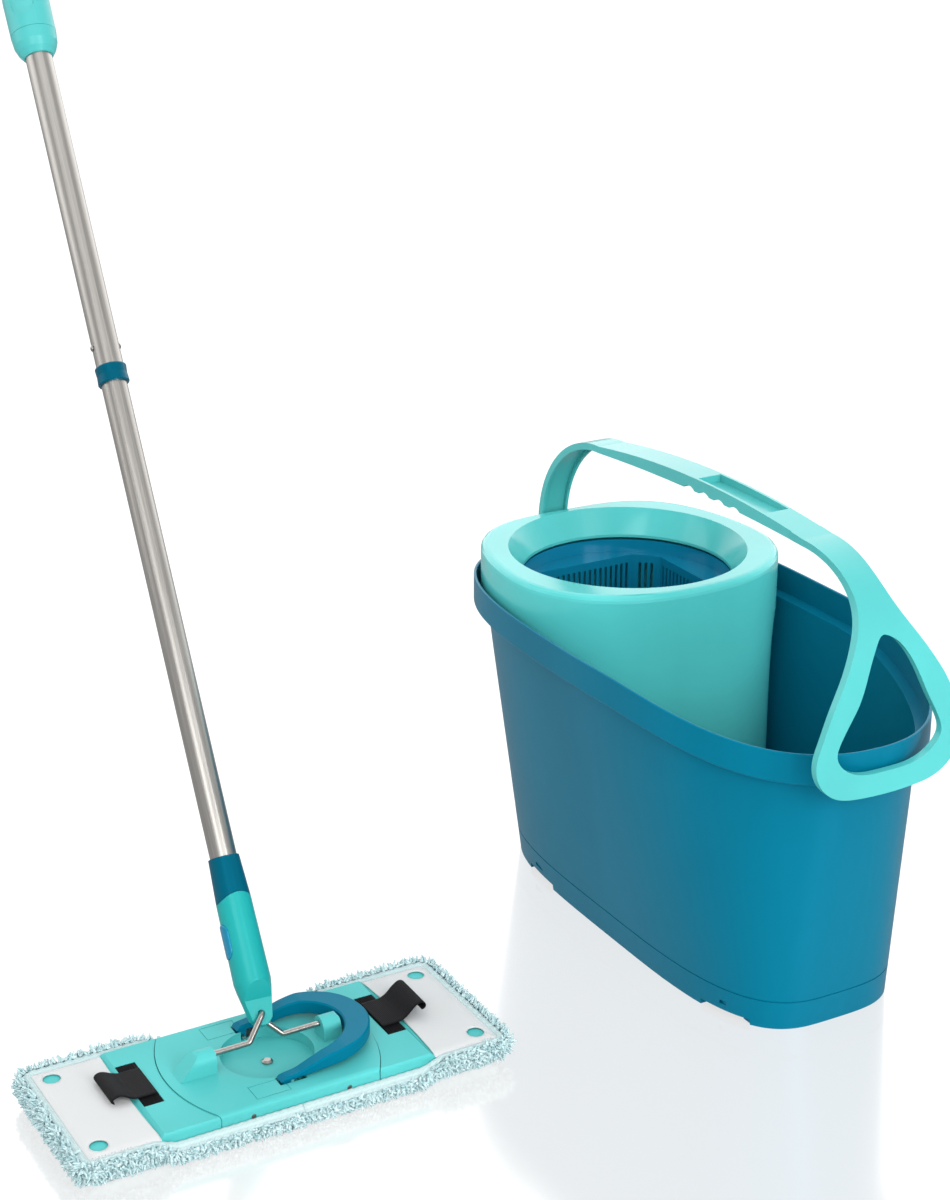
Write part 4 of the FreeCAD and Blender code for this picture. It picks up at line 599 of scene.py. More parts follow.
def tuft_tree(shapes, material):
    """Scatters tufts over a surface, each leaning its own way."""
    t = Tree("Tufts")
    length, radius, density, lean = [t.ask(n) for n in ("Length", "Radius", "Density", "Lean")]
    seed = t.ask("Seed", "NodeSocketInt")
    scatter = t.add("GeometryNodeDistributePointsOnFaces", {"distribute_method": "RANDOM"},
                    {"Mesh": t.enter.outputs[0], "Density": density, "Seed": seed})
    jitter = t.add("FunctionNodeRandomValue", {"data_type": "FLOAT_VECTOR"},
                   {"Min": (-1, -1, -1), "Max": (1, 1, 1), "Seed": seed})
    sway = t.add("ShaderNodeVectorMath", {"operation": "SCALE"}, {0: jitter, "Scale": lean})
    way = t.add("ShaderNodeVectorMath", {"operation": "ADD"},
                {0: scatter.node.outputs["Normal"], 1: sway})
    spin = t.chance(0.0, 6.283, t.maths("ADD", seed, 1.0))
    own = t.add("ShaderNodeCombineXYZ", None, {"Z": spin})
    turn = t.add("FunctionNodeRotateRotation", {"rotation_space": "LOCAL"},
                 {"Rotation": t.aim("Z", {"Vector": way}), "Rotate By": own})
    size = t.chance(0.65, 1.3, seed)
    tall = t.maths("MULTIPLY", t.maths("MULTIPLY", length, size), t.attribute("tall", "FLOAT"))
    wide = t.maths("MULTIPLY", radius, size)
    scale = t.add("ShaderNodeCombineXYZ", None, {"X": wide, "Y": wide, "Z": tall})
    choice = t.add("GeometryNodeCollectionInfo", None, {
        "Collection": shapes, "Separate Children": True, "Reset Children": True})
    tufts = t.add("GeometryNodeInstanceOnPoints", None, {
        "Points": scatter, "Instance": choice, "Pick Instance": True,
        "Rotation": turn, "Scale": scale})
    t.close(tufts, material)
    return t


def row_tree(name, shape, material):
    """Sets copies of a shape on a mesh's points, each turned to its point's normal."""
    t = Tree(name)
    size, spread = t.ask("Size"), t.ask("Spread")
    points = t.add("GeometryNodeMeshToPoints", None, {"Mesh": t.enter.outputs[0]})
    turn = t.aim("Z", {"Vector": t.attribute("way", "FLOAT_VECTOR")})
    turn = t.aim("X", {"Rotation": turn, "Vector": t.attribute("run", "FLOAT_VECTOR")}, "Z")
    change = t.chance(t.maths("SUBTRACT", 1.0, spread), t.maths("ADD", 1.0, spread))
    shape_info = t.add("GeometryNodeObjectInfo", None, {"Object": shape}, output="Geometry")
    copies = t.add("GeometryNodeInstanceOnPoints", None, {
        "Points": points, "Instance": shape_info, "Rotation": turn,
        "Scale": t.maths("MULTIPLY", size, change)})
    t.close(copies, material)
    return t


def spots_piece(name, spots):
    """Loose points with the way each copy faces and the way it runs."""
    mesh = bpy.data.meshes.new(name)
    mesh.from_pydata([tuple(p) for p, w, r in spots], [], [])
    for label, index in (("way", 1), ("run", 2)):
        layer = mesh.attributes.new(label, "FLOAT_VECTOR", "POINT")
        for item, spot in zip(layer.data, spots):
            item.vector = spot[index]
    return link_object(name, mesh)


def tuft_shape(name, bend, rings=5, sides=5):
    """One unit tuft along Z: a curved tapering finger with a round tip."""
    points = []
    for ring in range(rings):
        t = ring / (rings - 1)
        wide = (1.0 - 0.62 * t) * (1.0 + 0.18 * math.sin(7 * t + bend * 3))
        side = bend * t * t * 1.6
        for index in range(sides):
            angle = 2 * math.pi * index / sides + ring * 0.4
            points.append((wide * math.cos(angle) + side, wide * math.sin(angle),
                           t * (1.0 - 0.12 * abs(bend))))
    faces = grid_faces(rings, sides, closed_columns=True)
    tip = len(points)
    points.append((bend * 1.9, 0, 1.08 - 0.12 * abs(bend)))
    last = (rings - 1) * sides
    for index in range(sides):
        faces.append((last + index, last + (index + 1) % sides, tip))
    return new_piece(name, points, faces, None)


# ---- pieces of cloth


# Sections of the cover's edge in millimetres: out from the plate's side, and up from the
# floor. Each form has one for the sides of the middle, one for the near side of the pockets
# and one for the ends and the far side.
BORDER_FORM = (
    ((0.4, 18.0), (1.0, 18.8), (2.8, 16.2), (4.8, 12.6), (4.2, 11.8), (0.4, 15.0)),
    ((0.4, 23.4), (1.2, 24.9), (3.0, 24.9), (4.8, 23.6), (4.5, 22.6), (0.4, 22.4)),
    ((0.4, 23.4), (1.2, 24.9), (3.6, 25.3), (6.2, 24.6), (6.0, 23.4), (0.4, 22.4)),
)
BODY_FORM = (
    ((-0.8, 9.1), (0.4, 11.5), (0.6, 14.6), (2.4, 13.4), (4.3, 11.2), (5.2, 8.8), (5.2, 6.6),
     (4.4, 4.6), (3.0, 2.8), (1.0, 1.6), (-1.5, 0.9)),
    ((-0.8, 9.1), (0.4, 15.0), (0.6, 22.0), (3.6, 22.2), (6.2, 21.6), (7.4, 19.0), (7.0, 15.8),
     (5.4, 12.6), (3.2, 9.4), (0.6, 4.5), (-2.0, 0.9)),
    ((-0.8, 9.1), (0.4, 15.0), (0.6, 22.0), (5.0, 23.0), (8.6, 22.2), (10.4, 19.6), (10.2, 16.4),
     (8.2, 12.6), (5.0, 9.0), (1.2, 4.2), (-2.0, 0.9)),
)
TUFT_FORM = (
    ((4.4, 12.2), (5.5, 10.6), (6.0, 8.6), (5.8, 6.6), (4.9, 4.8), (3.6, 3.2), (2.4, 2.2)),
    ((5.0, 23.8), (7.2, 22.2), (8.2, 19.4), (7.8, 16.2), (6.2, 13.0), (4.2, 10.4), (2.4, 8.0)),
    ((6.6, 24.6), (9.4, 23.2), (11.2, 20.2), (11.0, 16.6), (9.0, 12.8), (6.2, 9.6), (3.4, 7.0)),
)
TUFT_SHARE = (0.62, 0.85, 1.0)
OUTLINE_PITCH = 0.0034


def ease(low, high, value):
    t = min(1.0, max(0.0, (value - low) / (high - low)))
    return t * t * (3 - 2 * t)


def form_mix(spot, way):
    """Shares of the three forms of an edge section at a place on the plate's outline."""
    far_in = abs(spot.y)
    if way.x > 0:
        rise = ease(POCKET_START - 0.014, POCKET_START + 0.008, far_in)
    else:
        rise = ease(FOLD + 0.004, FOLD + 0.040, far_in)
    near = ease(0.2, 0.95, way.x)
    return 1 - rise, rise * near, rise * (1 - near)


def edge_section(form, spot, way):
    """The section of a form at a place, as (outward, up) in metres."""
    shares = form_mix(spot, way)
    return [(sum(w * p[0] for w, p in zip(shares, spots)) * MM,
             sum(w * p[1] for w, p in zip(shares, spots)) * MM) for spots in zip(*form)]


def half_outline(part, pitch):
    """The plate's outline from one side of the middle round an end to the other side."""
    ring = round_corner_loop(HALF_WIDTH, HALF_LENGTH, 0.003, pitch)
    inside = [spot.y * part > -1e-6 for spot, way in ring]
    start = next(i for i in range(len(ring)) if inside[i] and not inside[i - 1])
    return [ring[(start + i) % len(ring)] for i in range(sum(inside))]


def set_out(spot, way, out, up):
    return Vector((PLATE_X + spot.x + way.x * out, PLATE_Y + spot.y + way.y * out, up))


def lump(place):
    """How far the pile bulges at a place, from about -1 to 1."""
    return noise.noise(place * 260) * 0.5 + noise.noise(place * 620) * 0.35


def drawn_in(spot, way, inwards, up):
    """A place that lies a share of the way in from the plate's outline to its middle."""
    along = 1 - inwards * (HALF_WIDTH / HALF_LENGTH)
    return set_out(Vector((spot.x * (1 - inwards), spot.y * along)), way, 0, up)


def pile_skin(name, part, settings, material):
    """The lumpy body of one half of the pile: a pad under the plate with a fringe round it."""
    inner = [index / 18 for index in range(18, 0, -1)]
    points = []
    rows = half_outline(part, OUTLINE_PITCH)
    for spot, way in rows:
        section = edge_section(BODY_FORM, spot, way)
        points += [drawn_in(spot, way, inwards, section[0][1]) for inwards in inner]
        for index, (out, up) in enumerate(section):
            place = set_out(spot, way, out, up)
            if 3 <= index < len(section) - 1:
                place = set_out(spot, way, out + lump(place) * settings.lumps * 0.6, up)
            points.append(place)
        for inwards in reversed(inner):
            flat = drawn_in(spot, way, inwards, 0)
            flat.z = section[-1][1] + 0.0008 * lump(flat)
            points.append(flat)
    width = len(points) // len(rows)
    faces = grid_faces(len(rows), width)
    near, far = list(range(width)), list(range(len(points) - width, len(points)))
    faces.append(tuple(near + list(reversed(far))))
    return face_outwards(new_piece(name, points, faces, material))


def tuft_ground(name, part):
    """The surface that the tufts stand on, with how tall they grow at each place."""
    rows = half_outline(part, OUTLINE_PITCH)
    points, tall = [], []
    for spot, way in rows:
        share_here = sum(w * t for w, t in zip(form_mix(spot, way), TUFT_SHARE))
        for out, up in edge_section(TUFT_FORM, spot, way):
            points.append(set_out(spot, way, out, up))
            tall.append(share_here)
    width = len(TUFT_FORM[0])
    made = new_piece(name, points, grid_faces(len(rows), width), None)
    made.data.attributes.new("tall", "FLOAT", "POINT").data.foreach_set("value", tall)
    face = made.data.polygons[width * len(rows) // 4]
    away = face.center - Vector((PLATE_X, PLATE_Y, face.center.z))
    if face.normal.dot(away) < 0:
        made.data.flip_normals()
    return made


def border_strip(name, part, settings, material):
    """The knitted border that joins the pockets and the pile along the plate's outline."""
    points, uvs = [], []
    rows = half_outline(part, 0.0016)
    width = len(BORDER_FORM[0])
    run, before = 0.0, rows[0][0]
    for spot, way in rows:
        run += (spot - before).length
        before = spot
        ripple = settings.ripple * math.sin(run * 2 * math.pi / settings.stitch)
        for index, (out, up) in enumerate(edge_section(BORDER_FORM, spot, way)):
            swell = ripple if 0 < index < 4 else 0
            points.append(set_out(spot, way, out + swell * 0.6, up + swell))
            uvs.append((index / (width - 1), run / settings.stitch))
    faces = grid_faces(len(rows), width, closed_columns=True)
    faces.append(tuple(range(width)))
    faces.append(tuple(range(len(points) - width, len(points))))
    return face_outwards(new_piece(name, points, faces, material, uvs=uvs))


# Metres past the plate, in from its edges to a corner hole, and along the cloth's borders.
POCKET_OVER_END, POCKET_OVER_SIDE = 0.0010, 0.0008
HOLE_IN = (0.013, 0.0115)
HEM_BOW = 0.0022
DROOP_REACH = 0.0075


def pocket_sheet(name, side, sign, settings, material):
    """The cloth pocket over a wing's end, with two corner holes and a rolled hem."""
    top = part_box("pocket_" + side)[1][2] - settings.thickness / 2
    start = pocket_start(side)
    end, half = HALF_LENGTH + POCKET_OVER_END, HALF_WIDTH + POCKET_OVER_SIDE
    reach = end - start
    pitch = 0.00125
    pull_zone = pitch * 1.6
    columns, rows = int(2 * half / pitch), int(reach / pitch)
    holes = [Vector((face * (HALF_WIDTH - HOLE_IN[0]), HALF_LENGTH - HOLE_IN[1]))
             for face in (-1, 1)]
    points, kept = [], set()
    for row in range(rows + 1):
        v = row / rows
        for column in range(columns + 1):
            u = 2 * column / columns - 1
            x = u * half
            y = start + HEM_BOW * (1 - u * u) * (1 - v) + reach * v
            flat = Vector((x, y))
            inside = False
            for hole in holes:
                gap = (flat - hole).length
                if gap < settings.hole - 0.0001:
                    inside = True
                elif gap < settings.hole + pull_zone:
                    pull = (settings.hole + pull_zone - gap) / pull_zone
                    flat = hole + (flat - hole).normalized() * (gap - pull * (gap - settings.hole))
            if not inside:
                kept.add(len(points))
            border = min(half - abs(x), end - y)
            fall = max(0.0, 1 - border / DROOP_REACH) ** 2 * settings.droop
            far = Vector((x, y, sign))
            crease = 0.00022 * noise.noise(far * 45) + 0.0001 * noise.noise(far * 130)
            crown = 0.0005 * (1 - u * u)
            points.append((PLATE_X + flat.x, PLATE_Y + sign * flat.y, top + crown - fall + crease))
    faces = [face[::sign] for face in grid_faces(rows + 1, columns + 1) if kept.issuperset(face)]
    made = new_piece(name, points, faces, material)
    work = bmesh.new()
    work.from_mesh(made.data)
    bmesh.ops.delete(work, geom=[v for v in work.verts if not v.link_faces], context="VERTS")
    for vert in work.verts:
        if vert.is_boundary:
            spot = Vector((vert.co.x - PLATE_X, sign * (vert.co.y - PLATE_Y)))
            for hole in holes:
                gap = (spot - hole).length
                if gap < settings.hole + pitch * 2:
                    spot = hole + (spot - hole).normalized() * settings.hole
                    vert.co.x, vert.co.y = PLATE_X + spot.x, PLATE_Y + sign * spot.y
    bmesh.ops.recalc_face_normals(work, faces=work.faces)
    if sum(face.normal.z for face in work.faces) < 0:
        bmesh.ops.reverse_faces(work, faces=work.faces)
    area = sum(face.calc_area() for face in work.faces)
    work.to_mesh(made.data)
    work.free()
    wall = made.modifiers.new("Thickness", "SOLIDIFY")
    wall.thickness, wall.offset = settings.thickness, 0
    apply_modifiers(made)
    made.data.shade_smooth()
    return made, (2 * half, reach), area


def smooth_line(spots, steps):
    """Points evenly spaced along a smooth curve through the given (run, rise) spots."""
    line = []
    count = len(spots)
    for index in range(count - 1):
        p0 = spots[max(0, index - 1)]
        p1, p2 = spots[index], spots[index + 1]
        p3 = spots[min(count - 1, index + 2)]
        for step in range(steps):
            t = step / steps
            line.append(tuple(
                0.5 * ((2 * b) + (c - a) * t + (2 * a - 5 * b + 4 * c - d) * t * t +
                       (3 * b - a - 3 * c + d) * t ** 3)
                for a, b, c, d in zip(p0, p1, p2, p3)))
    line.append(tuple(spots[-1]))
    return line


# The pull tabs' middle lines in millimetres: along the plate from its pocket, and up.
STRAPS = {
    "left": ((-18, 0), (-7, 0.1), (-1, 0.3), (4, 2.4), (8.5, 4.7), (12.5, 5.6), (16, 4.4),
             (17.2, 2.2), (15.6, 0.5)),
    "right": ((-18, 0), (-7, 0.1), (-1, 0.6), (4, 3.6), (9, 8.0), (14, 11.0), (17.6, 10.8),
              (19.6, 8.4), (18.6, 6.2), (16.4, 5.6)),
}


def strap_piece(name, side, sign, settings, material):
    """A woven pull tab: flat on the hooks, then a fold that curls down over the pocket."""
    low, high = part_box("pull_tab_" + side)
    base = low[2] + settings.strap_thickness / 2 + 0.0001
    start = pocket_start(side)
    line = smooth_line(STRAPS[side], 7)
    half = settings.strap_thickness / 2
    columns = 30
    points, uvs, outline = [], [], []
    run, before = 0.0, line[0]
    for index, spot in enumerate(line):
        after = line[min(index + 1, len(line) - 1)]
        prior = line[max(index - 1, 0)]
        along = Vector((after[0] - prior[0], after[1] - prior[1])).normalized()
        run += math.dist(spot, before)
        before = spot
        outline.append((Vector(spot) * MM, Vector((-along.y, along.x)), run * MM))
    for face in (1, -1):
        for spot, way, length in outline:
            for column in range(columns + 1):
                u = column / columns
                edge = 1 - abs(2 * u - 1)
                thin = min(1.0, 0.45 + edge * 9)
                p = spot + way * (half * face * thin)
                sag = 0.0004 * math.sin(length * 190 + u * 2.2)
                x = low[0] + (high[0] - low[0]) * u
                points.append((x, PLATE_Y + sign * (start + p.x), base + p.y + sag * (p.y > 0.002)))
                uvs.append((u, length / 0.038))
    rows, width = len(outline), columns + 1
    count = rows * width
    faces = grid_faces(rows, width)
    faces += [tuple(count + i for i in reversed(face)) for face in grid_faces(rows, width)]
    loop = list(range(width)) + [r * width + width - 1 for r in range(1, rows)]
    loop += [(rows - 1) * width + c for c in range(width - 2, -1, -1)]
    loop += [r * width for r in range(rows - 2, 0, -1)]
    for a, b in zip(loop, loop[1:] + loop[:1]):
        faces.append((b, a, count + a, count + b))
    made = new_piece(name, points, faces, material, uvs=uvs)
    return face_outwards(made, merge=False), (high[0] - low[0], outline[-1][2])


def hook_shape():
    """One hook of a hook strip: a short stem with a bent tip."""
    points = []
    path = ((0, 0, 0), (0, 0, 0.5), (0.08, 0, 0.85), (0.3, 0, 1.0), (0.5, 0, 0.85))
    for index, spot in enumerate(path):
        wide = 0.24 * (1 - 0.12 * index)
        for side in range(4):
            angle = math.pi / 2 * side + math.pi / 4
            points.append((spot[0] + wide * math.cos(angle) * (0.6 if index > 2 else 1),
                           wide * math.sin(angle),
                           spot[2] + (wide * math.cos(angle) * 0.7 if index > 2 else 0)))
    faces = grid_faces(len(path), 4, closed_columns=True)
    last = (len(path) - 1) * 4
    faces.append((last, last + 1, last + 2, last + 3))
    return new_piece("Hook", points, faces, None)


def slab(name, low, high, bevel, material):
    """A block with round edges."""
    points = [(x, y, z) for z in (low[2], high[2]) for y in (low[1], high[1])
              for x in (low[0], high[0])]
    faces = [(0, 2, 3, 1), (4, 5, 7, 6), (0, 1, 5, 4), (2, 6, 7, 3), (0, 4, 6, 2), (1, 3, 7, 5)]
    made = new_piece(name, points, faces, material)
    edge = made.modifiers.new("Round", "BEVEL")
    edge.width, edge.segments = bevel, 2
    apply_modifiers(made)
    made.data.shade_smooth()
    return made


def stitch_shape():
    """One stitch: a short round thread that dips at both ends."""
    points = []
    rings, sides = 5, 6
    for ring in range(rings):
        t = ring / (rings - 1) * 2 - 1
        wide = 0.16 * math.sqrt(max(0.12, 1 - t * t * 0.9))
        for side in range(sides):
            angle = 2 * math.pi * side / sides
            points.append((t * 0.5, wide * math.cos(angle),
                           wide * math.sin(angle) + 0.10 * (1 - t * t)))
    faces = grid_faces(rings, sides, closed_columns=True)
    faces.append(tuple(range(sides)))
    last = (rings - 1) * sides
    faces.append(tuple(last + side for side in reversed(range(sides))))
    return face_outwards(new_piece("Stitch", points, faces, None))


# ---- operators

FINISH = {}
PLAIN = {
    "petrol": "bucket handle_pin_pour handle_pin_spinner",
    "pedal": "foot_pedal", "connector": "tube_connector lock_ring",
    "basket": "spin_basket release_button", "mint": "spinner_housing", "socket": "lower_socket",
    "plate": "head_base wing_left wing_right", "bail": "bucket_handle",
    "grip": "grip_collar grip_body grip_end_cap", "inlay": "grip_inlay",
    "acetal": "basket_bushing tube_top_bearing nut_retainer spindle_hub drive_nut",
    "tube": "upper_tube lower_tube", "pole_wire": "twist_spindle",
    "wire": "tube_rivet_left tube_rivet_right wire_yoke basket_axle axle_clip recess_screw "
            "fold_pin_left fold_pin_right pedal_pin_back pedal_pin_front button_spring",
}


class SPINMOP_OT_finishes(bpy.types.Operator):
    """Makes every finish and gives the hard parts theirs"""
    bl_idname = "spinmop.finishes"
    bl_label = "Finishes"

    def execute(self, context):
        c = context.scene.spin_mop.colours
        FINISH.update({
            "petrol": moulded("Petrol polypropylene", c.petrol, 0.34, 0.0, 0.03, 0.45, 0.95),
            "pedal": moulded("Petrol pedal", c.petrol, 0.40, 0.0, 0.04, 0.15, 0.95),
            "connector": moulded("Petrol connector", c.connector, 0.33, 0.0, 0.03, 0.4, 0.95),
            "basket": moulded("Basket plastic", c.basket, 0.20, 0.35, 0.02, 0.5, 0.8),
            "mint": moulded("Mint spinner", c.spinner, 0.22, 0.30, 0.02, 0.5, 0.3),
            "socket": moulded("Mint socket", c.socket, 0.32, 0.10, 0.03, 0.4, 0.7),
            "plate": moulded("Mint plate", c.mint, 0.42, 0.0, 0.04, 0.3, 0.5),
            "bail": moulded("Pale mint bail", c.pale_mint, 0.30, 0.30, 0.012, 0.5, 0.3),
            "grip": moulded("Mint grip", c.mint, 0.33, 0.15, 0.03, 0.4, 0.5),
            "inlay": soft_touch("Grip inlay", c.mint),
            "acetal": moulded("Acetal", c.acetal, 0.45, 0.0, 0.02),
            "tube": drawn_steel("Pole steel", c.steel, 0.36, True),
            "pole_wire": drawn_steel("Twisted bar", c.wire, 0.32, True),
            "wire": drawn_steel("Drawn wire", c.wire, 0.30),
            "cloth": plain_cloth("Pocket cloth", c.cloth),
            "pile": chenille("Chenille pile", c.pile, c.tips),
            "border": knitted("Knitted border", c.knit),
            "strap": ribbed_strap("Woven strap", c.strap),
            "hooks": hook_strip("Hook strip", c.strap),
            "thread": plain_cloth("Seam thread", c.petrol),
        })
        for key, names in PLAIN.items():
            for name in names.split():
                mesh = node(name).data
                if not mesh.materials:
                    mesh.materials.append(FINISH[key])
                for index in range(len(mesh.materials)):
                    mesh.materials[index] = FINISH[key]
        return {"FINISHED"}


# Half the length over which the cover would bend at a fold; nothing bends it.
BEND_REACH = 0.012


def bend_at_fold(thing, sign):
    """Bakes a half of the cover's transform into its mesh; it does not bend the half with its wing."""
    fold = PLATE_Y + sign * FOLD
    fold + sign * BEND_REACH
    fold - sign * BEND_REACH
    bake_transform(thing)


class SPINMOP_OT_pile(bpy.types.Operator):
    """Makes the mop cover's pile: a lumpy body and the tufts that stand on it"""
    bl_idname = "spinmop.pile"
    bl_label = "Pile"

    def execute(self, context):
        settings = context.scene.spin_mop.cover
        shapes = bpy.data.collections.new("Tuft shapes")
        for index, bend in enumerate((0.25, -0.7, 1.1)):
            shape = tuft_shape("Tuft_%d" % index, bend)
            context.scene.collection.objects.unlink(shape)
            shapes.objects.link(shape)
        tree = tuft_tree(shapes, FINISH["pile"])
        for side, sign in SIDES:
            skin = pile_skin("pile_body_" + side, sign, settings, FINISH["pile"])
            take_place(skin, None, ("cover_" + side, "cover_center"))
            bend_at_fold(skin, sign)
            ground = tuft_ground("pile_" + side, sign)
            density = settings.tufts_per_area * 1.0
            tufts = tree.run(ground, Length=settings.tuft_length, Radius=settings.tuft_radius,
                             Density=density, Lean=0.62, Seed=settings.seed + sign)
            for vert in tufts.data.vertices:
                vert.co.z = max(vert.co.z, 0.0004)
            tufts.data.shade_smooth()
            take_place(tufts)
            bend_at_fold(tufts, sign)
        for shape in list(shapes.objects):
            bpy.data.objects.remove(shape)
        bpy.data.collections.remove(shapes)
        return {"FINISHED"}


class SPINMOP_OT_border(bpy.types.Operator):
    """Makes the knitted border that lines the plate"""
    bl_idname = "spinmop.border"
    bl_label = "Knitted border"

    def execute(self, context):
        settings = context.scene.spin_mop.cover
        for side, sign in SIDES:
            strip = border_strip("border_" + side, sign, settings, FINISH["border"])
            take_place(strip)
            bend_at_fold(strip, sign)
        return {"FINISHED"}


# How far in from the plate's outline the seam runs, and how far apart its stitches are.
SEAM_IN, SEAM_PITCH = 0.0012, 0.0024


class SPINMOP_OT_pockets(bpy.types.Operator):
    """Makes the two cloth pockets with their seams"""
    bl_idname = "spinmop.pockets"
    bl_label = "Pockets"

    def execute(self, context):
        settings = context.scene.spin_mop.cloth
        shape = stitch_shape()
        tree = row_tree("Stitches", shape, FINISH["thread"])
        for side, sign in SIDES:
            name = "pocket_" + side
            body = "wing_%s_body" % side
            cloth, flat, area = pocket_sheet("cloth_" + name, side, sign, settings,
                                             FINISH["cloth"])
            take_place(cloth, body, (name,))
            start = pocket_start(side)
            spots = []
            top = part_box(name)[1][2] - settings.droop * 0.8
            x_edge, y_edge = HALF_WIDTH - SEAM_IN, HALF_LENGTH - SEAM_IN
            pitch = SEAM_PITCH
            for face in (-1, 1):
                for index in range(int((y_edge - start) / pitch)):
                    y = start + pitch * (index + 0.5)
                    spots.append(((PLATE_X + face * x_edge, PLATE_Y + sign * y, top),
                                  (face * 0.45, 0, 1), (0, 1, 0)))
            for index in range(int(2 * x_edge / pitch)):
                x = -x_edge + pitch * (index + 0.5)
                spots.append(((PLATE_X + x, PLATE_Y + sign * y_edge, top),
                              (0, 0.45 * sign, 1), (1, 0, 0)))
            seam = tree.run(spots_piece("seam_" + side, spots), Size=0.0019, Spread=0.12)
            take_place(seam, body)
        bpy.data.objects.remove(shape)
        return {"FINISHED"}


class SPINMOP_OT_straps(bpy.types.Operator):
    """Makes the two woven pull tabs"""
    bl_idname = "spinmop.straps"
    bl_label = "Pull tabs"

    def execute(self, context):
        settings = context.scene.spin_mop.cloth
        for side, sign in SIDES:
            strap, flat = strap_piece("strap_" + side, side, sign, settings, FINISH["strap"])
            take_place(strap, "wing_%s_body" % side, ("pull_tab_" + side,))
        return {"FINISHED"}


class SPINMOP_OT_hooks(bpy.types.Operator):
    """Makes the two hook patches under the pull tabs"""
    bl_idname = "spinmop.hooks"
    bl_label = "Hook patches"

    def execute(self, context):
        settings = context.scene.spin_mop.cloth
        shape = hook_shape()
        tree = row_tree("Hooks", shape, FINISH["hooks"])
        for side, sign in SIDES:
            name = "hook_patch_" + side
            body = "wing_%s_body" % side
            low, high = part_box(name)
            base = slab("hooks_base_" + side, low, (high[0], high[1], high[2] - 0.0003), 0.0002,
                        FINISH["hooks"])
            take_place(base, body, (name,))
            spots = []
            pitch = settings.hook_pitch
            rows = int((high[1] - low[1] - 0.001) / pitch)
            columns = int((high[0] - low[0] - 0.001) / pitch)
            for row in range(rows):
                odd = row % 2
                for column in range(columns):
                    spots.append(((low[0] + 0.0008 + pitch * (column + 0.5 * odd),
                                   low[1] + 0.0009 + pitch * row, high[2] - 0.0004),
                                  (0, 0, 1), (0, 1 if odd else -1, 0)))
            hooks = tree.run(spots_piece("hooks_" + side, spots), Size=0.0009, Spread=0.1)
            take_place(hooks, body)
        bpy.data.objects.remove(shape)
        return {"FINISHED"}


class SPINMOP_OT_spring(bpy.types.Operator):
    """Makes the leaf spring under the release button"""
    bl_idname = "spinmop.spring"
    bl_label = "Button spring"

    def execute(self, context):
        mesh = node("button_spring").data.copy()
        leaf = link_object("spring_leaf", mesh)
        click = joint("click_button")
        push = Vector(click["axis"]).normalized()
        reach = [vert.co.dot(push) for vert in mesh.vertices]
        keep = 1 - click["range_m"][1] * 1.03 / (max(reach) - min(reach))
        take_place(leaf, "pole_lower", ("button_spring",))
        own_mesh(leaf)
        return {"FINISHED"}


# Each lamp's place and size. All shine at one place, and their powers are settings.
LAMPS = {
    "overhead": ((-0.1, -0.5, 2.6), 2.4), "side": ((2.6, 0.1, 1.3), 1.4),
    "left": ((-1.3, -2.3, 1.4), 1.4), "front": ((2.3, -2.0, 2.0), 1.6),
}
LIT_PLACE = Vector((0.0, -0.1, 0.2))
EYE, LENS = (1.45949, -1.03773, 0.97963), 69.24
EYE_RIGHT, EYE_UP = Vector((0.48995, 0.87175, 0.0)), Vector((-0.31524, 0.17718, 0.93233))
AHEAD = (-EYE_RIGHT.y, EYE_RIGHT.x, 0.0)
PALE_GREY = (0.86, 0.87, 0.88, 1)
FLOOR_WASH = 0.72


def lamp(name, power):
    """A square studio lamp of a power."""
    place, size = LAMPS[name]
    data = bpy.data.lights.new(name, "AREA")
    data.shape, data.size, data.energy = "SQUARE", size, power
    made = link_object(name, data)
    made.location = place
    made.rotation_euler = (LIT_PLACE - Vector(place)).to_track_quat("-Z", "Y").to_euler()


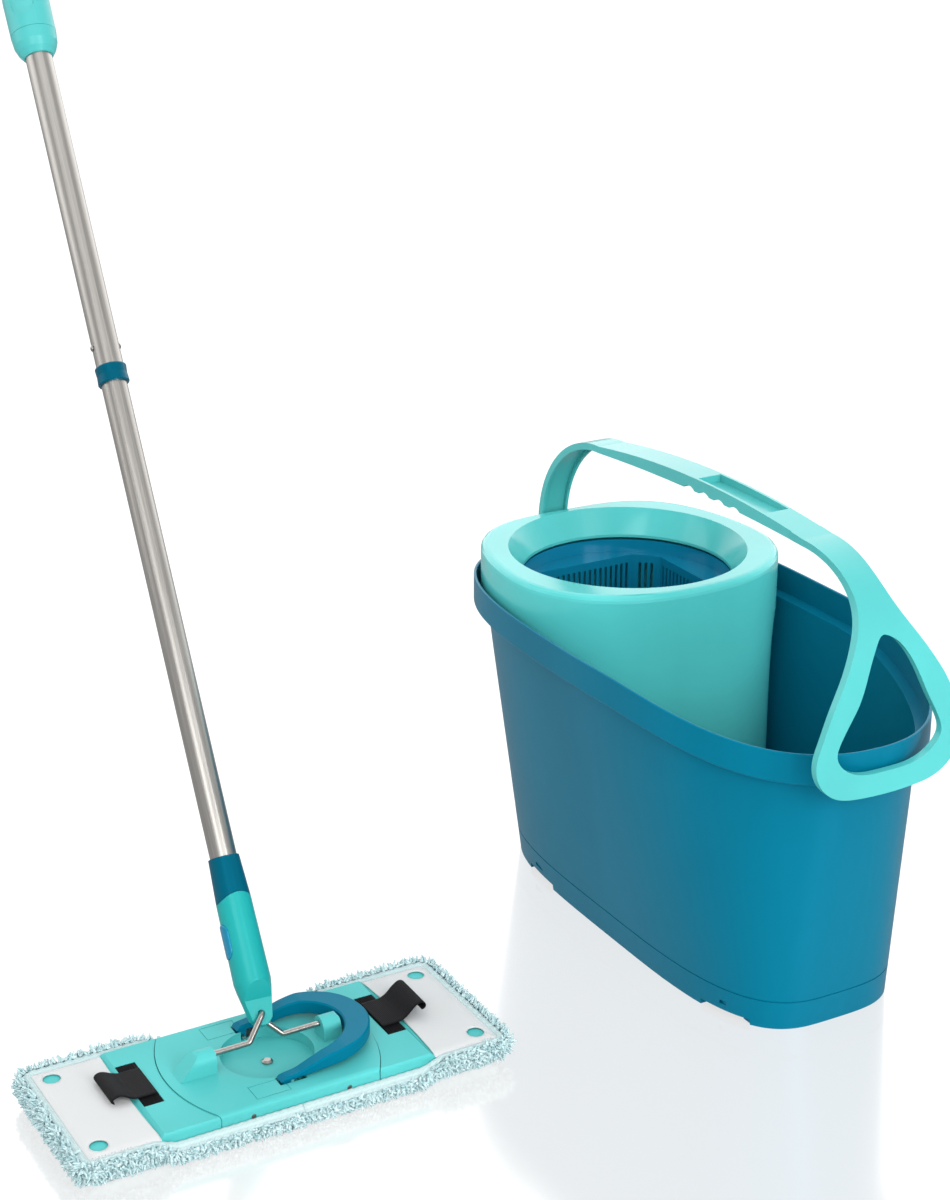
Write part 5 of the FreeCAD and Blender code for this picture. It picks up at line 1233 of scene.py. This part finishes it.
class SPINMOP_OT_stage(bpy.types.Operator):
    """Makes the pale floor, the soft studio light and the camera"""
    bl_idname = "spinmop.stage"
    bl_label = "Studio"

    def execute(self, context):
        s = context.scene.spin_mop.studio
        half = s.floor_size / 2
        floor = new_piece("floor", [(-half, -half, 0), (half, -half, 0), (half, half, 0),
                                    (-half, half, 0)], [(0, 1, 2, 3)], None, smooth=False)
        g = new_finish("Pale floor")
        soft = g.add("ShaderNodeBsdfDiffuse", None, {"Color": PALE_GREY})
        gloss = g.add("ShaderNodeBsdfGlossy", None, {"Color": WHITE, "Roughness": 0.14})
        camera, mirrored = g.rays()
        seen = g.either(FLOOR_WASH * camera, g.either(s.mirror, soft, gloss),
                        g.glow("ShaderNodeEmission", 1.0))
        mixed = g.either(mirrored, seen, g.glow("ShaderNodeEmission", s.mirrored))
        floor.data.materials.append(g.finish(mixed))

        world = bpy.data.worlds.new("Studio")
        context.scene.world = world
        w = Graph(world, "ShaderNodeOutputWorld")
        even, white = [w.glow("ShaderNodeBackground", level) for level in (s.surround, 1.0)]
        way = w.add("ShaderNodeTexCoord", output="Generated")
        ahead = w.add("ShaderNodeVectorMath", {"operation": "DOT_PRODUCT"}, {0: way, 1: AHEAD},
                      output="Value")
        cove = w.glow("ShaderNodeBackground",
                      s.mirrored + (s.cove - s.mirrored) * ahead.step(0, 0.8))
        camera, mirrored = w.rays()
        w.finish(w.either(mirrored, w.either(camera, even, white), cove))

        for name in LAMPS:
            lamp(name, getattr(s, name))

        data = bpy.data.cameras.new("camera")
        data.lens, data.clip_end = LENS, 200.0
        eye = link_object("camera", data)
        turn = Matrix((EYE_RIGHT, EYE_UP, EYE_RIGHT.cross(EYE_UP))).transposed()
        eye.matrix_world = Matrix.Translation(EYE) @ turn.to_4x4()
        context.scene.camera = eye
        context.scene.view_settings.view_transform = "Standard"
        return {"FINISHED"}


class SPINMOP_PT_panel(bpy.types.Panel):
    """Lists the pieces' operators and their settings"""
    bl_idname = "SPINMOP_PT_panel"
    bl_label = "Spin mop"
    bl_space_type = "VIEW_3D"
    bl_region_type = "UI"
    bl_category = "Spin mop"

    def draw(self, context):
        settings = context.scene.spin_mop
        for operator in OPERATORS:
            self.layout.operator(operator.bl_idname)
        for group in (settings.colours, settings.cover, settings.cloth, settings.studio):
            box = self.layout.box()
            for key in group.__annotations__:
                box.prop(group, key)


OPERATORS = (SPINMOP_OT_stage, SPINMOP_OT_finishes, SPINMOP_OT_pile, SPINMOP_OT_border,
             SPINMOP_OT_pockets, SPINMOP_OT_hooks, SPINMOP_OT_straps, SPINMOP_OT_spring)
CLASSES = (SPINMOP_PG_colours, SPINMOP_PG_cover, SPINMOP_PG_cloth, SPINMOP_PG_studio,
           SPINMOP_PG_settings) + OPERATORS + (SPINMOP_PT_panel,)


def register():
    for item in CLASSES:
        bpy.utils.register_class(item)
    bpy.types.Scene.spin_mop = PointerProperty(type=SPINMOP_PG_settings)


def unregister():
    del bpy.types.Scene.spin_mop
    for item in reversed(CLASSES):
        bpy.utils.unregister_class(item)


def main():
    register()
    bpy.ops.spinmop.stage()
    bpy.ops.spinmop.finishes()
    bpy.ops.spinmop.pile()
    bpy.ops.spinmop.border()
    bpy.ops.spinmop.pockets()
    bpy.ops.spinmop.hooks()
    bpy.ops.spinmop.straps()
    bpy.ops.spinmop.spring()
    bpy.context.view_layer.update()


if __name__ == "__main__":
    main()
